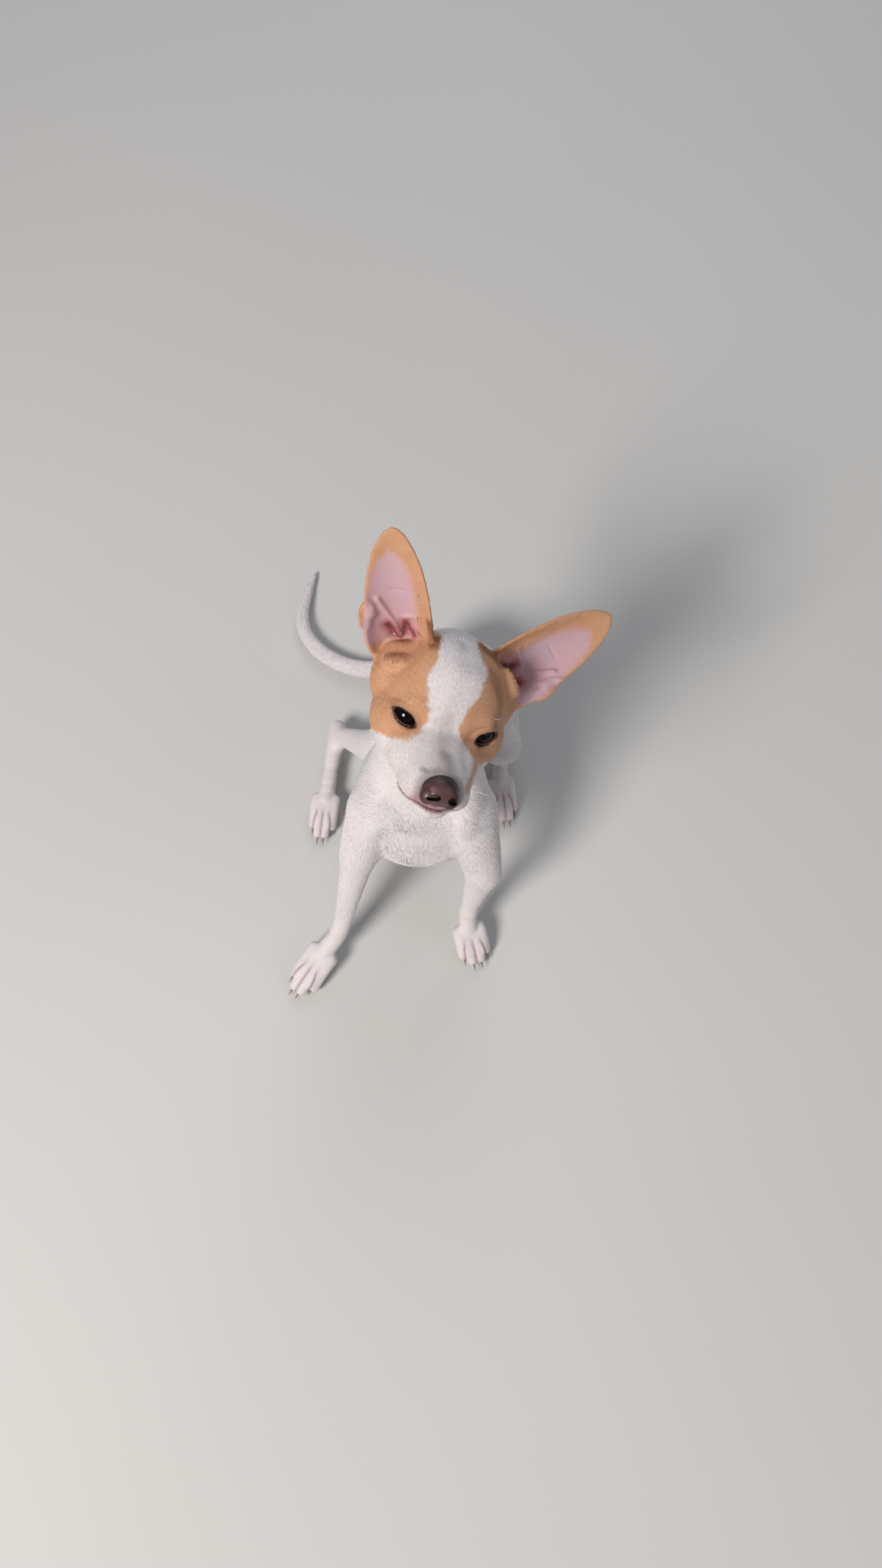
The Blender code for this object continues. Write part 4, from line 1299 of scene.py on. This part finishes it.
def add_claw(work, root, tip, girth):
    """Adds one claw to a bmesh and returns how near each of its points is to the quick."""
    ahead = Vector((tip.x - root.x, tip.y - root.y, 0)).normalized()
    start = tip + ahead * girth * 0.1 + Vector((0, 0, CLAW["lift"]))
    claw = bmesh.new()
    bmesh.ops.create_cone(claw, cap_ends=True, segments=10, radius1=1, radius2=0.1, depth=1)
    sides = [edge for edge in claw.edges if abs(edge.verts[0].co.z - edge.verts[1].co.z) > 0.5]
    bmesh.ops.subdivide_edges(claw, edges=sides, cuts=6)
    across = Vector((0, 0, -1)).cross(ahead)
    quick = []
    for vert in claw.verts:
        share = vert.co.z + 0.5
        fat = CLAW["girth"] * (1 - share ** 3 * 0.5) / max(1 - 0.9 * share, 0.1) * (1 - 0.93 * share)
        place = start + ahead * CLAW["length"] * share + across * vert.co.x * fat * 0.8
        vert.co = (place + Vector((0, 0, -1)) * (CLAW["drop"] * share ** 2 + vert.co.y * fat)) * MM
        quick.append(max(1 - share * 1.5, 0) * 0.8)
    mesh = mesh_of(claw)
    work.from_mesh(mesh)
    bpy.data.meshes.remove(mesh)
    return quick


# Whiskers: root in the head frame on the left side, the way it grows, and its share of the length.
WHISKER_ROWS = (
    ((13.5, -24, -18), (0.9, -0.3, 0.25), 1.0),
    ((14.5, -20, -20), (1, -0.1, 0.1), 1.0),
    ((15.5, -15, -21), (1, 0.1, 0.0), 0.9),
    ((13.5, -25, -21.5), (0.9, -0.35, -0.1), 0.9),
    ((15, -21, -23), (1, -0.1, -0.2), 0.95),
    ((12, -28, -24), (0.75, -0.5, -0.4), 0.7),
    ((22, 1.5, 11), (0.5, -0.7, 0.6), 0.5),
    ((18, 0, 10), (0.3, -0.8, 0.7), 0.45),
    ((24, 6, -17), (0.9, -0.3, -0.3), 0.5),
    ((7, -30, -33), (0.4, -0.5, -0.8), 0.4),
)


class DOG_OT_whiskers(bpy.types.Operator):
    """Grows the whiskers of the muzzle, the brows and the cheeks"""

    bl_idname = "dog.whiskers"
    bl_label = "Whiskers"

    def execute(self, context):
        longest = context.scene.dog_face.whisker / MM
        work = bmesh.new()
        matrix = head_matrix()
        for (x, y, z), way, share in WHISKER_ROWS:
            for sign in SIDES.values():
                root, ahead = Vector((x * sign, y, z)), Vector((way[0] * sign, way[1], way[2])).normalized()
                strand = bmesh.new()
                bmesh.ops.create_cone(strand, cap_ends=True, segments=4, radius1=0.11, radius2=0.02, depth=1)
                sides = [edge for edge in strand.edges if abs(edge.verts[0].co.z - edge.verts[1].co.z) > 0.5]
                bmesh.ops.subdivide_edges(strand, edges=sides, cuts=7)
                turn = ahead.to_track_quat("Z", "Y").to_matrix()
                for vert in strand.verts:
                    far = vert.co.z + 0.5
                    droop = Vector((0, 0.25, -0.35)) * far ** 2 * longest * share * 0.5
                    along = ahead * (far * longest * share - 1.5)
                    thin = turn @ Vector((vert.co.x, vert.co.y, 0))
                    vert.co = matrix @ ((root + along + droop + thin) * MM)
                mesh = mesh_of(strand)
                work.from_mesh(mesh)
                bpy.data.meshes.remove(mesh)
        made, tree, shader = new_material("whisker_hair", 0.4, IOR=1.55)
        tone = blend_colour(tree, grain(tree, 4, 2), "#e8e2dc", "#ffffff")
        tree.links.new(tone, shader.inputs["Base Color"])
        piece("whiskers", mesh_of(work, "whiskers"), made)
        return {"FINISHED"}


# Stage

CAMERA_AT = (-0.005, -0.3384, 0.765)
CAMERA_TILT = 20
FOCAL_PIXELS = 1539
LONG_SIDE = 2048
SENSOR = 36


class DOG_OT_stage(bpy.types.Operator):
    """Lays a pale floor and sets the camera of the photo and soft studio light"""

    bl_idname = "dog.stage"
    bl_label = "Stage"

    def execute(self, context):
        scene, stage = context.scene, context.scene.dog_stage
        work = bmesh.new()
        bmesh.ops.create_grid(work, x_segments=1, y_segments=1, size=stage.floor)
        floor = bpy.data.objects.new("floor", mesh_of(work, "floor"))
        scene.collection.objects.link(floor)
        made, tree, shader = new_material("pale_floor", 0.85)
        tone = blend_colour(tree, grain(tree, 400, 2), "#bfbfbd", "#c6c6c4")
        tree.links.new(tone, shader.inputs["Base Color"])
        floor.data.materials.append(made)
        floor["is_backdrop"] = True
        camera = bpy.data.objects.new("camera", bpy.data.cameras.new("camera"))
        scene.collection.objects.link(camera)
        camera.location = CAMERA_AT
        camera.rotation_euler = (math.radians(CAMERA_TILT), 0, 0)
        camera.data.sensor_width = SENSOR
        camera.data.lens = FOCAL_PIXELS / LONG_SIDE * SENSOR
        camera.data.clip_start = 0.01
        scene.camera = camera
        for name, place, size, power, colour in (
            ("key", (-0.95, -1.05, 1.4), 0.65, stage.light, "#fff9f4"),
            ("fill", (1.4, -0.6, 1.1), 1.6, stage.light * 0.13, "#f2f4fa"),
            ("back", (0.2, 1.4, 1.3), 1.2, stage.light * 0.25, "#f2f5ff"),
        ):
            lamp = bpy.data.lights.new(name, "AREA")
            lamp.shape = "DISK"
            lamp.energy, lamp.size, lamp.color = power, size, linear(colour)[:3]
            holder = bpy.data.objects.new(name, lamp)
            holder.location = place
            holder.rotation_euler = (Vector((0, -0.1, 0.12)) - Vector(place)).to_track_quat("-Z", "Y").to_euler()
            scene.collection.objects.link(holder)
        world = bpy.data.worlds.new("soft_sky")
        world.use_nodes = True
        sky = world.node_tree.nodes["Background"]
        sky.inputs["Color"].default_value = linear("#e8eaee")
        sky.inputs["Strength"].default_value = 0.24
        scene.world = world
        scene.view_settings.view_transform = "Standard"
        return {"FINISHED"}


class DOG_PT_panel(bpy.types.Panel):
    """Buttons and sizes of the sitting chihuahua"""

    bl_idname = "DOG_PT_panel"
    bl_label = "Chihuahua"
    bl_space_type = "VIEW_3D"
    bl_region_type = "UI"
    bl_category = "Chihuahua"

    def draw(self, context):
        for group in SETTINGS:
            settings = getattr(context.scene, group)
            for field in settings.__annotations__:
                self.layout.prop(settings, field)
        for operator in OPERATORS:
            self.layout.operator(operator.bl_idname)


SETTINGS = {"dog_coat": DogCoat, "dog_face": DogFace, "dog_stage": DogStage}
OPERATORS = (DOG_OT_stage, DOG_OT_skin, DOG_OT_eyes, DOG_OT_nose, DOG_OT_claws, DOG_OT_whiskers, DOG_OT_coat)


def register():
    for kind in (*SETTINGS.values(), *OPERATORS, DOG_PT_panel):
        bpy.utils.register_class(kind)
    for group, kind in SETTINGS.items():
        setattr(bpy.types.Scene, group, PointerProperty(type=kind))


def unregister():
    for group in SETTINGS:
        delattr(bpy.types.Scene, group)
    for kind in reversed((*SETTINGS.values(), *OPERATORS, DOG_PT_panel)):
        bpy.utils.unregister_class(kind)


def main():
    register()
    for operator in OPERATORS:
        group, name = operator.bl_idname.split(".")
        getattr(getattr(bpy.ops, group), name)()
    boxes = {"cad": CAD_BOX, "visual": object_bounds()}
    {key: [list(corner) for corner in box] for key, box in boxes.items()}


if __name__ == "__main__":
    main()
